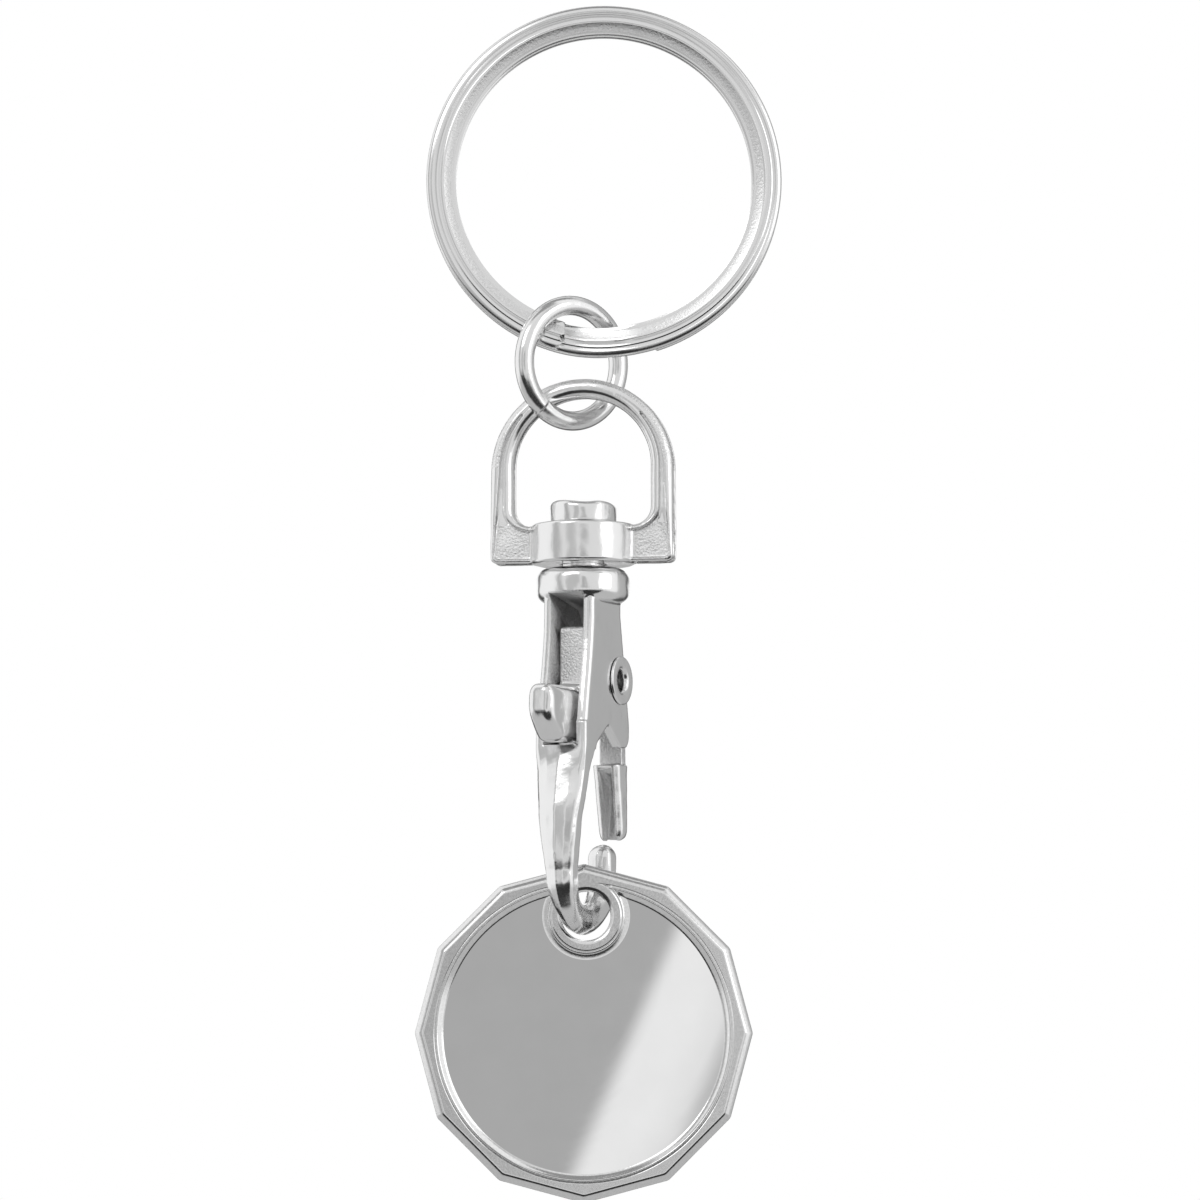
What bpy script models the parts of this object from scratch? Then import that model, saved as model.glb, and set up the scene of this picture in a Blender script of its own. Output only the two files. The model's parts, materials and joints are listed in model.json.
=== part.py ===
"""Trolley-token keyring: split ring, jump ring, swivel clasp with a sprung gate, and token.

Metres, +Z up, front towards -Y. The keyring hangs: the origin is the hang point, at the
top of the split ring's inner edge. Run with: blender --background --python part.py
"""

import math

import bmesh
import bpy
import numpy as np
from mathutils import Matrix, Vector

MM = 0.001

# Split ring: one flat wire wound twice, its two free ends either side of the step
RING_OUTER_D = 25.0 * MM
RING_BAND = 2.1 * MM
RING_TURN_T = 0.86 * MM
RING_TURN_GAP = 0.1 * MM
RING_CREST_W = 0.5 * MM
RING_EDGE_T = 0.45 * MM
RING_FRONT_END_DEG = 18.0
RING_STEP_START_DEG = 346.0
RING_STEP_END_DEG = 376.0
RING_BACK_END_DEG = 703.0
RING_STEPS = 114

# Jump ring: round wire, turned about Z so that it links both flat neighbours
JUMP_OUTER_D = 9.5 * MM
JUMP_WIRE_D = 1.3 * MM
JUMP_BUTT_GAP = 0.12 * MM
JUMP_BUTT_DEG = 229.0
JUMP_TURN_DEG = 36.0
JUMP_TILT_DEG = 5.0
JUMP_SIDE = -2.27 * MM
JUMP_STEPS = 44
JUMP_SIDES = 10

# How far each link hangs clear of the one above it
JUMP_PLAY = 0.12 * MM
EYE_PLAY = 0.2 * MM
LINK_SEARCH_STEPS = 40

# Swivel eye: a D of cast metal with a bored boss in its base
EYE_SIDE = -1.45 * MM
EYE_TURN_DEG = -10.0
EYE_W = 13.0 * MM
EYE_LEG_W = 1.65 * MM
EYE_ARCH_H = 1.35 * MM
EYE_DEPTH = 2.0 * MM
EYE_EDGE_R = 0.45 * MM
EYE_WINDOW_H = 9.0 * MM
EYE_WINDOW_R = 1.2 * MM
EYE_BASE_H = 2.65 * MM
EYE_FOOT_R = 0.5 * MM
EYE_BOSS_D = 7.3 * MM
EYE_BOSS_RISE = 0.08 * MM
EYE_BOSS_R = 0.25 * MM

# Swivel stem: passes up through the boss and is peened over on top of it
STEM_D = 3.0 * MM
STEM_CLEARANCE = 0.1 * MM
HEAD_D = 4.7 * MM
HEAD_H = 1.3 * MM
HEAD_EDGE_R = 0.35 * MM
HEAD_CROWN = 0.12 * MM
HEAD_PLAY = 0.12 * MM
NECK_GAP = 0.3 * MM
COLLAR_D = 6.5 * MM
COLLAR_H = 2.4 * MM
COLLAR_R = 0.75 * MM

# Clasp body: two cheeks with a slot between them, running down into the hook
CLASP_TURN_DEG = 25.0
BODY_T = 3.9 * MM
BODY_BACK = 2.6 * MM
BODY_FRONT = 2.35 * MM
BODY_EDGE_R = 0.45 * MM
SPINE_LEAN = 1.2 * MM
SPINE_MID_LEAN = 0.5 * MM
LUG_REACH = 3.78 * MM
LUG_R = 0.85 * MM
LUG_RISE = 0.05 * MM
NOTCH_H = 1.5 * MM
SLOT_W = 2.47 * MM
SLOT_H = 10.6 * MM
SLOT_BITE = 0.5 * MM
FRONT_WALL_T = 0.75 * MM
FRONT_WALL_H = 3.1 * MM

# Hook: a forged round that swells and thins, bent back up to its tip
HOOK_TIP_RISE = 6.363 * MM
HOOK_BEND_R = 3.3 * MM
HOOK_SIDE = 0.16 * MM
HOOK_W = 1.5 * MM
HOOK_DEPTH = 2.0 * MM
TIP_D = 1.8 * MM
SHANK_DEPTH = 1.9 * MM
SHANK_BULGE = 0.45 * MM
SHANK_LAP = 1.2 * MM
SHANK_STEP = 0.3 * MM
SHANK_INSET = 0.12 * MM
HOOK_SIDES = 12
BEND_STEPS = 12
SECTION_POWER = 2.7
SHANK_POWER = 7.0

# Pivot rivet: a tube with a rolled flange on each cheek
PIVOT_REACH = 1.94 * MM
PIVOT_DROP = 5.35 * MM
RIVET_D = 2.3 * MM
RIVET_BORE_D = 1.5 * MM
RIVET_FLANGE_D = 3.4 * MM
RIVET_FLANGE_T = 0.32 * MM
RIVET_CLEARANCE = 0.05 * MM

# Gate lever: plate behind the slot, thumb tab through it, and gate arm down to the tip
LEVER_T = 2.0 * MM
LEVER_BOSS_D = 3.5 * MM
LEVER_BOSS_END_DEG = 15.0
LEVER_BOSS_STEPS = 8
PLATE_SINK = 0.45 * MM
PLATE_T = 1.0 * MM
PLATE_RISE = 3.6 * MM
PLATE_CORNER_R = 0.3 * MM
ARM_DROP = 1.05 * MM
TAB_REACH = 4.6 * MM
TAB_H = 3.95 * MM
TAB_CHAMFER = 1.65 * MM
TAB_NOSE_R = 0.9 * MM
STOP_GAP = 0.08 * MM
NECK_T = 0.7 * MM
NECK_REACH = 5.2 * MM
GATE_REACH = 5.75 * MM
GATE_DEPTH = 2.25 * MM
GATE_TIP_DEPTH = 1.3 * MM
GATE_DROP = 5.4 * MM
GATE_LENGTH = 11.3 * MM
GATE_CORNER_R = 0.9 * MM
GATE_TIP_CLEARANCE = 0.15 * MM
CHANNEL_W = 1.0 * MM
CHANNEL_FLOOR_T = 0.6 * MM

# Gate spring: a small coil between the lever's plate and the body's front wall
SPRING_D = 1.5 * MM
SPRING_WIRE_D = 0.22 * MM
SPRING_RISE = 2.85 * MM
SPRING_SEAT_GAP = 0.08 * MM
SPRING_TURNS = 3
SPRING_TURN_POINTS = 9

# Token: twelve sides, a flat recess on each face and a hole in a boss near one corner
TOKEN_ACROSS_CORNERS = 23.43 * MM
TOKEN_SIDES = 12
TOKEN_T = 1.9 * MM
TOKEN_EDGE = 0.3 * MM
TOKEN_RECESS_D = 20.3 * MM
TOKEN_RECESS_DEPTH = 0.35 * MM
TOKEN_HOLE_D = 3.4 * MM
TOKEN_BOSS_D = 5.1 * MM
TOKEN_HOLE_RISE = 8.1 * MM
TOKEN_HOLE_SIDE = 0.15 * MM
TOKEN_TURN_DEG = 1.0
TOKEN_SHIFT_BACK = 0.08 * MM
TOKEN_SHIFT_SIDE = 0.2 * MM
TOKEN_LIFT = 0.97 * MM

ROUND_STEPS = 32
OVERRUN = 1.0 * MM
CORNER_STEPS = 4
BEVEL_STEPS = 2

STEEL = (0.78, 0.78, 0.77)
PLATED = (0.82, 0.82, 0.83)
MIRROR = (0.85, 0.85, 0.86)


# Derived sizes of the split ring
RING_R = RING_OUTER_D / 2
RING_INNER_R = RING_R - RING_BAND
RING_MID_R = RING_R - RING_BAND / 2
RING_CENTRE_Z = -RING_INNER_R
RING_LAYER_Y = (RING_TURN_T + RING_TURN_GAP) / 2
RING_INNER_HALF_T = RING_LAYER_Y + RING_EDGE_T / 2

# Derived sizes of the jump ring
JUMP_R = (JUMP_OUTER_D - JUMP_WIRE_D) / 2
JUMP_INNER_R = JUMP_R - JUMP_WIRE_D / 2

# Derived sizes of the eye
EYE_HALF_W = EYE_W / 2
EYE_INNER_HALF_W = EYE_HALF_W - EYE_LEG_W


def circle_height(radius, offset):
    """Height of a circle of this radius above its centre, at a sideways offset."""
    return math.sqrt(max(radius ** 2 - offset ** 2, 0))


def circle_points(centre, radius, y, start_deg, end_deg, steps=90):
    """Points of an arc in a plane of constant Y, angles from +X towards +Z."""
    angle = np.radians(np.linspace(start_deg, end_deg, steps))
    x = centre[0] + radius * np.cos(angle)
    z = centre[1] + radius * np.sin(angle)
    return np.stack([x, np.full(steps, y), z], axis=1)


def jump_line():
    """Centre line of the jump ring about its own centre, as it hangs."""
    line = circle_points((0, 0), JUMP_R, 0, 0, 360, 180)
    turn = Matrix.Rotation(math.radians(JUMP_TURN_DEG), 3, 'Z')
    tilt = Matrix.Rotation(math.radians(JUMP_TILT_DEG), 3, 'X')
    return line @ np.array(tilt @ turn).T


def lowest_clear(moving, fixed, clear, start, reach):
    """Lowest height at which moving points, sinking from start, stay this far from the fixed."""
    high, low = start, start - reach
    for _ in range(LINK_SEARCH_STEPS):
        middle = (high + low) / 2
        apart = moving + np.array([0, 0, middle])
        gap = np.linalg.norm(apart[:, None] - fixed[None], axis=2).min()
        if gap > clear:
            high = middle
        else:
            low = middle
    return high


def hanging_heights():
    """Heights of the jump ring's centre and of the eye's inner arch centre, each just clear."""
    layer_out = RING_LAYER_Y + RING_TURN_T / 2
    edges = [
        (RING_INNER_R, RING_INNER_HALF_T),
        (RING_MID_R - RING_CREST_W / 2, layer_out),
        (RING_MID_R + RING_CREST_W / 2, layer_out),
    ]
    ring = [circle_points((0, RING_CENTRE_Z), radius, side * y, 225, 315)
            for radius, y in edges for side in (-1, 1)]
    line = jump_line() + np.array([JUMP_SIDE, 0, 0])
    clear = JUMP_WIRE_D / 2 + JUMP_PLAY
    free = RING_CENTRE_Z - RING_INNER_R - RING_BAND / 2
    jump_z = lowest_clear(line, np.concatenate(ring), clear, free, JUMP_INNER_R)
    half, out = EYE_DEPTH / 2, EYE_INNER_HALF_W + EYE_EDGE_R
    edges = [(EYE_INNER_HALF_W, half - EYE_EDGE_R), (out, half), (out + EYE_EDGE_R, half)]
    arch = [circle_points((0, 0), radius, side * y, 20, 160)
            for radius, y in edges for side in (-1, 1)]
    turn = Matrix.Rotation(math.radians(EYE_TURN_DEG), 3, 'Z')
    arch = np.concatenate(arch) @ np.array(turn).T + np.array([EYE_SIDE, 0, 0])
    line[:, 2] += jump_z
    free = jump_z - EYE_INNER_HALF_W - EYE_ARCH_H / 2
    clear = JUMP_WIRE_D / 2 + EYE_PLAY
    return jump_z, lowest_clear(arch, line, clear, free, JUMP_INNER_R)


JUMP_Z, ARCH_Z = hanging_heights()
WINDOW_TOP_Z = ARCH_Z + EYE_INNER_HALF_W
WINDOW_BOTTOM_Z = WINDOW_TOP_Z - EYE_WINDOW_H
EYE_BOTTOM_Z = WINDOW_BOTTOM_Z - EYE_BASE_H
SEAT_Z = EYE_BOTTOM_Z - EYE_BOSS_RISE - NECK_GAP

# Heights in the clasp's frame: zero is the collar's top, +X runs from the spine to the gate
BODY_TOP = -COLLAR_H
PIVOT_Z = BODY_TOP - PIVOT_DROP
SLOT_TOP = BODY_TOP + SLOT_BITE
SLOT_FLOOR = SLOT_TOP - SLOT_H
FRONT_WALL_BOTTOM = BODY_TOP - FRONT_WALL_H
FRONT_WALL_BACK = BODY_FRONT - FRONT_WALL_T
SPINE_BACK = BODY_BACK + SPINE_LEAN
TIP_X = HOOK_BEND_R - HOOK_SIDE
SHANK_X = -HOOK_BEND_R - HOOK_SIDE
TIP_TOP = PIVOT_Z - circle_height(GATE_LENGTH + GATE_TIP_CLEARANCE, TIP_X - PIVOT_REACH)
HOOK_BOTTOM = TIP_TOP - HOOK_TIP_RISE
BEND_Z = HOOK_BOTTOM + HOOK_DEPTH / 2 + HOOK_BEND_R
SHANK_INNER = SHANK_DEPTH - SPINE_BACK


def clear_scene():
    for obj in list(bpy.data.objects):
        bpy.data.objects.remove(obj, do_unlink=True)


def metal(name, colour, roughness):
    material = bpy.data.materials.new(name)
    material.use_nodes = True
    shader = material.node_tree.nodes["Principled BSDF"]
    shader.inputs["Base Color"].default_value = (*colour, 1)
    shader.inputs["Metallic"].default_value = 1
    shader.inputs["Roughness"].default_value = roughness
    return material


def add_empty(name, location, turn_deg=0, parent=None):
    empty = bpy.data.objects.new(name, None)
    bpy.context.collection.objects.link(empty)
    empty.location = location
    empty.rotation_euler.z = math.radians(turn_deg)
    empty.parent = parent
    return empty


def add_mesh(name, bm, parent=None, material=None, smooth=True):
    """Make an object of a bmesh, with outward faces; it sits at its parent's origin."""
    bmesh.ops.recalc_face_normals(bm, faces=bm.faces)
    mesh = bpy.data.meshes.new(name)
    bm.to_mesh(mesh)
    bm.free()
    if smooth:
        mesh.shade_smooth()
        mesh.set_sharp_from_angle(angle=math.radians(30))
    obj = bpy.data.objects.new(name, mesh)
    bpy.context.collection.objects.link(obj)
    obj.parent = parent
    if material:
        mesh.materials.append(material)
    return obj


def add_tool(name, bm, parent=None, smooth=False):
    """Make a hidden shape that only joins or cuts others."""
    tool = add_mesh(name, bm, parent, smooth=smooth)
    tool.hide_render = True
    tool.display_type = 'WIRE'
    return tool


def boolean(obj, tool, operation):
    modifier = obj.modifiers.new(tool.name, 'BOOLEAN')
    modifier.operation = operation
    modifier.solver = 'EXACT'
    modifier.object = tool


def round_edges(obj, radius, angle_deg=40, steps=BEVEL_STEPS):
    modifier = obj.modifiers.new("edges", 'BEVEL')
    modifier.width = radius
    modifier.segments = steps
    modifier.limit_method = 'ANGLE'
    modifier.angle_limit = math.radians(angle_deg)


def fillet(corners, steps=CORNER_STEPS):
    """Outline points of a polygon whose corners (x, z, radius) are rounded."""
    points = []
    count = len(corners)
    for index, (x, z, radius) in enumerate(corners):
        here = Vector((x, z))
        if not radius:
            points.append((x, z))
            continue
        before = (Vector(corners[index - 1][:2]) - here).normalized()
        after = (Vector(corners[(index + 1) % count][:2]) - here).normalized()
        half = before.angle(after) / 2
        centre = here + (before + after).normalized() * (radius / math.sin(half))
        start = here + before * (radius / math.tan(half)) - centre
        end = here + after * (radius / math.tan(half)) - centre
        sweep = start.angle_signed(end)
        for step in range(steps + 1):
            arm = start.copy()
            arm.rotate(Matrix.Rotation(-sweep * step / steps, 2))
            points.append(tuple(centre + arm))
    return points


def arc(centre_x, centre_z, radius, start_deg, end_deg, steps):
    points = []
    for step in range(steps + 1):
        angle = math.radians(start_deg + (end_deg - start_deg) * step / steps)
        points.append((centre_x + radius * math.cos(angle), centre_z + radius * math.sin(angle)))
    return points


def slab(points, low, high):
    """Extrude an outline in the XZ plane from Y low to Y high."""
    bm = bmesh.new()
    front = [bm.verts.new((x, low, z)) for x, z in points]
    back = [bm.verts.new((x, high, z)) for x, z in points]
    bm.faces.new(front)
    bm.faces.new(list(reversed(back)))
    for index in range(len(points)):
        after = (index + 1) % len(points)
        bm.faces.new((front[index], back[index], back[after], front[after]))
    return bm


def loft(rings, closed=False):
    """Skin a row of point rings; an open row gets a flat cap at each end."""
    bm = bmesh.new()
    rows = [[bm.verts.new(point) for point in ring] for ring in rings]
    sides = len(rows[0])
    for index in range(len(rows) - 1 + closed):
        here, there = rows[index], rows[(index + 1) % len(rows)]
        for side in range(sides):
            after = (side + 1) % sides
            bm.faces.new((here[side], here[after], there[after], there[side]))
    if not closed:
        bm.faces.new(rows[0])
        bm.faces.new(list(reversed(rows[-1])))
    return bm


def turned(profile, steps=ROUND_STEPS, axis='Z', twist=0.0):
    """Turn a closed profile of (radius, height) about an axis; radius zero is on the axis."""
    bm = bmesh.new()
    rows = []
    for radius, height in profile:
        spots = 1 if radius == 0 else steps
        row = []
        for step in range(spots):
            angle = math.tau * (step + twist) / steps
            across, along = radius * math.cos(angle), radius * math.sin(angle)
            place = (across, along, height) if axis == 'Z' else (across, height, along)
            row.append(bm.verts.new(place))
        rows.append(row)
    pairs = list(zip(rows, rows[1:]))
    if profile[0][0] and profile[-1][0]:
        pairs.append((rows[-1], rows[0]))
    for here, there in pairs:
        for step in range(steps):
            after = (step + 1) % steps
            corners = [here[step % len(here)], here[after % len(here)]]
            corners += [there[after % len(there)], there[step % len(there)]]
            bm.faces.new(list(dict.fromkeys(corners)))
    return bm


def cylinder_z(radius, low, high):
    return turned([(0, low), (radius, low), (radius, high), (0, high)], twist=0.5)


def cylinder_y(radius, low, high):
    return turned([(0, low), (radius, low), (radius, high), (0, high)], axis='Y', twist=0.5)


def shift(bm, x=0.0, y=0.0, z=0.0):
    bmesh.ops.translate(bm, verts=bm.verts, vec=(x, y, z))
    return bm


def smooth_step(share):
    share = min(max(share, 0), 1)
    return share * share * (3 - 2 * share)


def make_split_ring(material):
    """Flat bevelled wire wound clockwise from the front layer to the back one."""
    half_band, half_crest = RING_BAND / 2, RING_CREST_W / 2
    half_edge, half_turn = RING_EDGE_T / 2, RING_TURN_T / 2
    quarter = [(half_band, half_edge), (half_crest, half_turn)]
    section = quarter + [(-across, out) for across, out in reversed(quarter)]
    section += [(-across, -out) for across, out in quarter]
    section += [(across, -out) for across, out in reversed(quarter)]
    rings = []
    for step in range(RING_STEPS + 1):
        sweep = RING_BACK_END_DEG - RING_FRONT_END_DEG
        degrees = RING_FRONT_END_DEG + sweep * step / RING_STEPS
        span = RING_STEP_END_DEG - RING_STEP_START_DEG
        layer = smooth_step((degrees - RING_STEP_START_DEG) / span)
        y = RING_LAYER_Y * (2 * layer - 1)
        out = Vector((-math.sin(math.radians(degrees)), 0, -math.cos(math.radians(degrees))))
        centre = Vector((0, y, RING_CENTRE_Z))
        ring = [centre + out * (RING_MID_R + a) + Vector((0, b, 0)) for a, b in section]
        rings.append(ring)
    return add_mesh("split_ring", loft(rings), None, material)


def make_jump_ring(parent, hinge_z, material):
    """Round wire bent into a ring, its two ends a hair apart at the lower left."""
    gap = JUMP_BUTT_GAP / JUMP_R
    butt = math.radians(JUMP_BUTT_DEG)
    rings = []
    for step in range(JUMP_STEPS + 1):
        angle = butt + gap / 2 + (math.tau - gap) * step / JUMP_STEPS
        out = Vector((math.cos(angle), 0, math.sin(angle)))
        ring = []
        for side in range(JUMP_SIDES):
            turn = math.tau * side / JUMP_SIDES
            reach = JUMP_R + JUMP_WIRE_D / 2 * math.cos(turn)
            ring.append(out * reach + Vector((0, JUMP_WIRE_D / 2 * math.sin(turn), 0)))
        rings.append(ring)
    bm = loft(rings)
    turn = Matrix.Rotation(math.radians(JUMP_TURN_DEG), 4, 'Z')
    tilt = Matrix.Rotation(math.radians(JUMP_TILT_DEG), 4, 'X')
    bmesh.ops.transform(bm, matrix=tilt @ turn, verts=bm.verts)
    shift(bm, z=JUMP_Z - hinge_z)
    return add_mesh("jump_ring", bm, parent, material)


def d_loop(half_width, arch_centre, bottom, corner_radius):
    """A D standing on its flat side: half circle above, straight legs, rounded feet."""
    arch = arc(0, arch_centre, half_width, 180, 0, ROUND_STEPS // 2)
    feet = fillet([
        (half_width, arch_centre, 0),
        (half_width, bottom, corner_radius),
        (-half_width, bottom, corner_radius),
        (-half_width, arch_centre, 0),
    ])
    return arch + feet[1:-1]


def make_swivel_eye(parent, material):
    """D-shaped eye; heights here are from the centre of its inner arch."""
    outer_centre = EYE_INNER_HALF_W + EYE_ARCH_H - EYE_HALF_W
    window_bottom = WINDOW_BOTTOM_Z - ARCH_Z
    bottom = window_bottom - EYE_BASE_H
    outer = d_loop(EYE_HALF_W, outer_centre, bottom, EYE_FOOT_R)
    inner = d_loop(EYE_INNER_HALF_W, 0, window_bottom, EYE_WINDOW_R)
    half = EYE_DEPTH / 2
    rows = []
    for outline, y in ((outer, -half), (outer, half), (inner, half), (inner, -half)):
        rows.append([(x, y, z) for x, z in outline])
    eye = add_mesh("swivel_eye", loft(rows, closed=True), parent, material)
    round_edges(eye, EYE_EDGE_R)
    boss_profile = [(radius, z) for radius, z in fillet([
        (0, bottom - EYE_BOSS_RISE, 0),
        (EYE_BOSS_D / 2, bottom - EYE_BOSS_RISE, EYE_BOSS_R),
        (EYE_BOSS_D / 2, window_bottom + EYE_BOSS_RISE, EYE_BOSS_R),
        (0, window_bottom + EYE_BOSS_RISE, 0),
    ], BEVEL_STEPS)]
    boss = add_tool("eye_boss", turned(boss_profile), parent, smooth=True)
    bore_r = STEM_D / 2 + STEM_CLEARANCE
    bore = cylinder_z(bore_r, bottom - OVERRUN, window_bottom + OVERRUN)
    boolean(eye, boss, 'UNION')
    boolean(eye, add_tool("eye_bore", bore, parent), 'DIFFERENCE')
    return eye


def stem_solid():
    """Collar, stem and peened head in one turned piece, rooted inside the body."""
    head_low = NECK_GAP + EYE_BASE_H + 2 * EYE_BOSS_RISE + HEAD_PLAY
    head_high = head_low + HEAD_H
    profile = fillet([
        (0, BODY_TOP, 0),
        (COLLAR_D / 2, BODY_TOP, COLLAR_R),
        (COLLAR_D / 2, 0, COLLAR_R),
        (STEM_D / 2, 0, 0),
        (STEM_D / 2, head_low, 0),
        (HEAD_D / 2, head_low, 0),
        (HEAD_D / 2, head_high, HEAD_EDGE_R),
        (0, head_high + HEAD_CROWN, 0),
    ], BEVEL_STEPS + 1)
    return turned(profile)


def rounded_ring(low_x, high_x, half_y, radius, z):
    """Level ring of points round a rectangle with rounded corners."""
    corners = [(low_x, -half_y, radius), (high_x, -half_y, radius),
               (high_x, half_y, radius), (low_x, half_y, radius)]
    return [(x, y, z) for x, y in fillet(corners)]


def cheek_block():
    """Both cheeks as one block: level rings from the collar down to the foot."""
    shoulder = BODY_TOP - LUG_R
    lug_top = SLOT_FLOOR + LUG_RISE + 2 * LUG_R
    lean_rate = (LUG_REACH - BODY_FRONT) / (shoulder - lug_top)
    levels = [
        (SLOT_TOP, BODY_BACK, BODY_FRONT),
        (shoulder, BODY_BACK, BODY_FRONT),
        (PIVOT_Z, BODY_BACK + SPINE_MID_LEAN, BODY_FRONT + lean_rate * (shoulder - PIVOT_Z)),
        (lug_top, (SPINE_BACK + BODY_BACK + SPINE_MID_LEAN) / 2, LUG_REACH),
        (SLOT_FLOOR - SHANK_STEP, SPINE_BACK, LUG_REACH),
    ]
    rings = [rounded_ring(-back, front, BODY_T / 2, BODY_EDGE_R, z) for z, back, front in levels]
    return loft(rings)


def under_outline():
    """What is cut away below the cheeks in side view, leaving the lug and its notch."""
    lug_bottom = SLOT_FLOOR + LUG_RISE
    bottom = SLOT_FLOOR - SHANK_STEP - OVERRUN
    notch_x = (SHANK_INNER + LUG_REACH - 2 * LUG_R) / 2
    far = LUG_REACH + OVERRUN
    corner_x = LUG_REACH - LUG_R * 0.6
    return fillet([
        (SHANK_INNER, bottom, 0),
        (SHANK_INNER, lug_bottom, LUG_R / 2),
        (notch_x, lug_bottom + NOTCH_H, LUG_R / 2),
        (LUG_REACH - 2 * LUG_R, lug_bottom, LUG_R / 2),
        (corner_x, lug_bottom, LUG_R * 0.8),
        (far, lug_bottom + far - corner_x, 0),
        (far, bottom, 0),
    ])


def hook_stations():
    """Section centre, turn, half width, half depth and squareness, from the body to the tip."""
    half_t, half_w, half_tip = BODY_T / 2, HOOK_W / 2, TIP_D / 2
    top_x = (SHANK_INNER - SPINE_BACK) / 2
    drop = SLOT_FLOOR - BEND_Z
    lap = -SHANK_LAP / drop
    width_shares = [(lap, 0.93), (0, 0.93), (0.1, 0.9), (0.35, 0.81), (0.7, 0.58), (0.9, 0.38), (1, 0.26)]
    stations = []
    for share, width_share in width_shares:
        ease = smooth_step(share)
        bulge = SHANK_BULGE * math.sin(math.pi * max(share, 0))
        x = top_x + (SHANK_X - top_x) * ease - bulge
        width = half_w + (half_t - half_w) * width_share
        depth = SHANK_DEPTH - SHANK_INSET + (HOOK_DEPTH + SHANK_INSET - SHANK_DEPTH) * ease
        power = SHANK_POWER + (SECTION_POWER - SHANK_POWER) * ease
        stations.append((x, SLOT_FLOOR - drop * share, 0, width, depth / 2, power))
    for step in range(1, BEND_STEPS + 1):
        share = step / BEND_STEPS
        angle = math.pi * (1 + share)
        x = HOOK_BEND_R * math.cos(angle) - HOOK_SIDE
        z = BEND_Z + HOOK_BEND_R * math.sin(angle)
        entry = (half_t - half_w) * width_shares[-1][1] * (1 - smooth_step(3 * share))
        exit_share = smooth_step(2 * share - 1)
        width = half_w + entry + (half_tip - half_w) * exit_share
        depth = HOOK_DEPTH / 2 + (half_tip - HOOK_DEPTH / 2) * exit_share
        stations.append((x, z, math.pi * share, width, depth, SECTION_POWER))
    for degrees in (0, 25, 50, 72):
        angle = math.radians(degrees)
        z = TIP_TOP - half_tip + half_tip * math.sin(angle)
        reach = half_tip * math.cos(angle)
        stations.append((TIP_X, z, math.pi, reach, reach, SECTION_POWER))
    return stations


def hook_solid():
    """Skin the hook's sections; each is a rounded square across the wire."""
    rings = []
    for x, z, bend, width, depth, power in hook_stations():
        away = Vector((math.cos(bend), 0, math.sin(bend)))
        ring = []
        for side in range(HOOK_SIDES):
            turn = math.tau * (side + 0.5) / HOOK_SIDES
            across = math.copysign(abs(math.cos(turn)) ** (2 / power), math.cos(turn))
            along = math.copysign(abs(math.sin(turn)) ** (2 / power), math.sin(turn))
            ring.append(Vector((x, width * along, z)) + away * depth * across)
        rings.append(ring)
    return loft(rings)


def cavity_outline():
    """What is cut out between the cheeks, in side view."""
    far = BODY_BACK + LUG_REACH + OVERRUN
    foot = SLOT_FLOOR - SHANK_DEPTH - OVERRUN
    front = SHANK_INNER + SHANK_INSET
    return [
        (-far, SLOT_TOP),
        (FRONT_WALL_BACK, SLOT_TOP),
        (FRONT_WALL_BACK, FRONT_WALL_BOTTOM),
        (far, FRONT_WALL_BOTTOM),
        (far, foot),
        (front, foot),
        (front, SLOT_FLOOR),
        (-far, SLOT_FLOOR),
    ]


def make_hook_body(parent, material):
    half_slot = SLOT_W / 2
    reach = BODY_T / 2 + OVERRUN
    body = add_mesh("hook_body", cheek_block(), parent, material)
    under = add_tool("hook_under", slab(under_outline(), -reach, reach), parent)
    boolean(body, under, 'DIFFERENCE')
    boolean(body, add_tool("hook_stem", stem_solid(), parent, smooth=True), 'UNION')
    boolean(body, add_tool("hook_wire", hook_solid(), parent, smooth=True), 'UNION')
    cavity = slab(cavity_outline(), -half_slot, half_slot)
    boolean(body, add_tool("hook_cavity", cavity, parent), 'DIFFERENCE')
    bore = cylinder_y(RIVET_D / 2 + RIVET_CLEARANCE, -reach, reach)
    shift(bore, x=PIVOT_REACH, z=PIVOT_Z)
    boolean(body, add_tool("hook_rivet_bore", bore, parent), 'DIFFERENCE')
    return body


def make_pivot_rivet(parent, material):
    """Tubular rivet across both cheeks, open right through."""
    under = BODY_T / 2 + RIVET_CLEARANCE
    out = under + RIVET_FLANGE_T
    bore_r, tube_r, flange_r = RIVET_BORE_D / 2, RIVET_D / 2, RIVET_FLANGE_D / 2
    half = [
        (tube_r, under, 0),
        (flange_r, under, 0),
        (flange_r, out, RIVET_FLANGE_T / 2),
        (bore_r, out, RIVET_FLANGE_T / 2),
    ]
    mirrored = [(radius, -height, rounding) for radius, height, rounding in reversed(half)]
    profile = fillet(half + mirrored, BEVEL_STEPS)
    bm = shift(turned(profile, axis='Y'), x=PIVOT_REACH, z=PIVOT_Z)
    return add_mesh("pivot_rivet", bm, parent, material)


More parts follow.
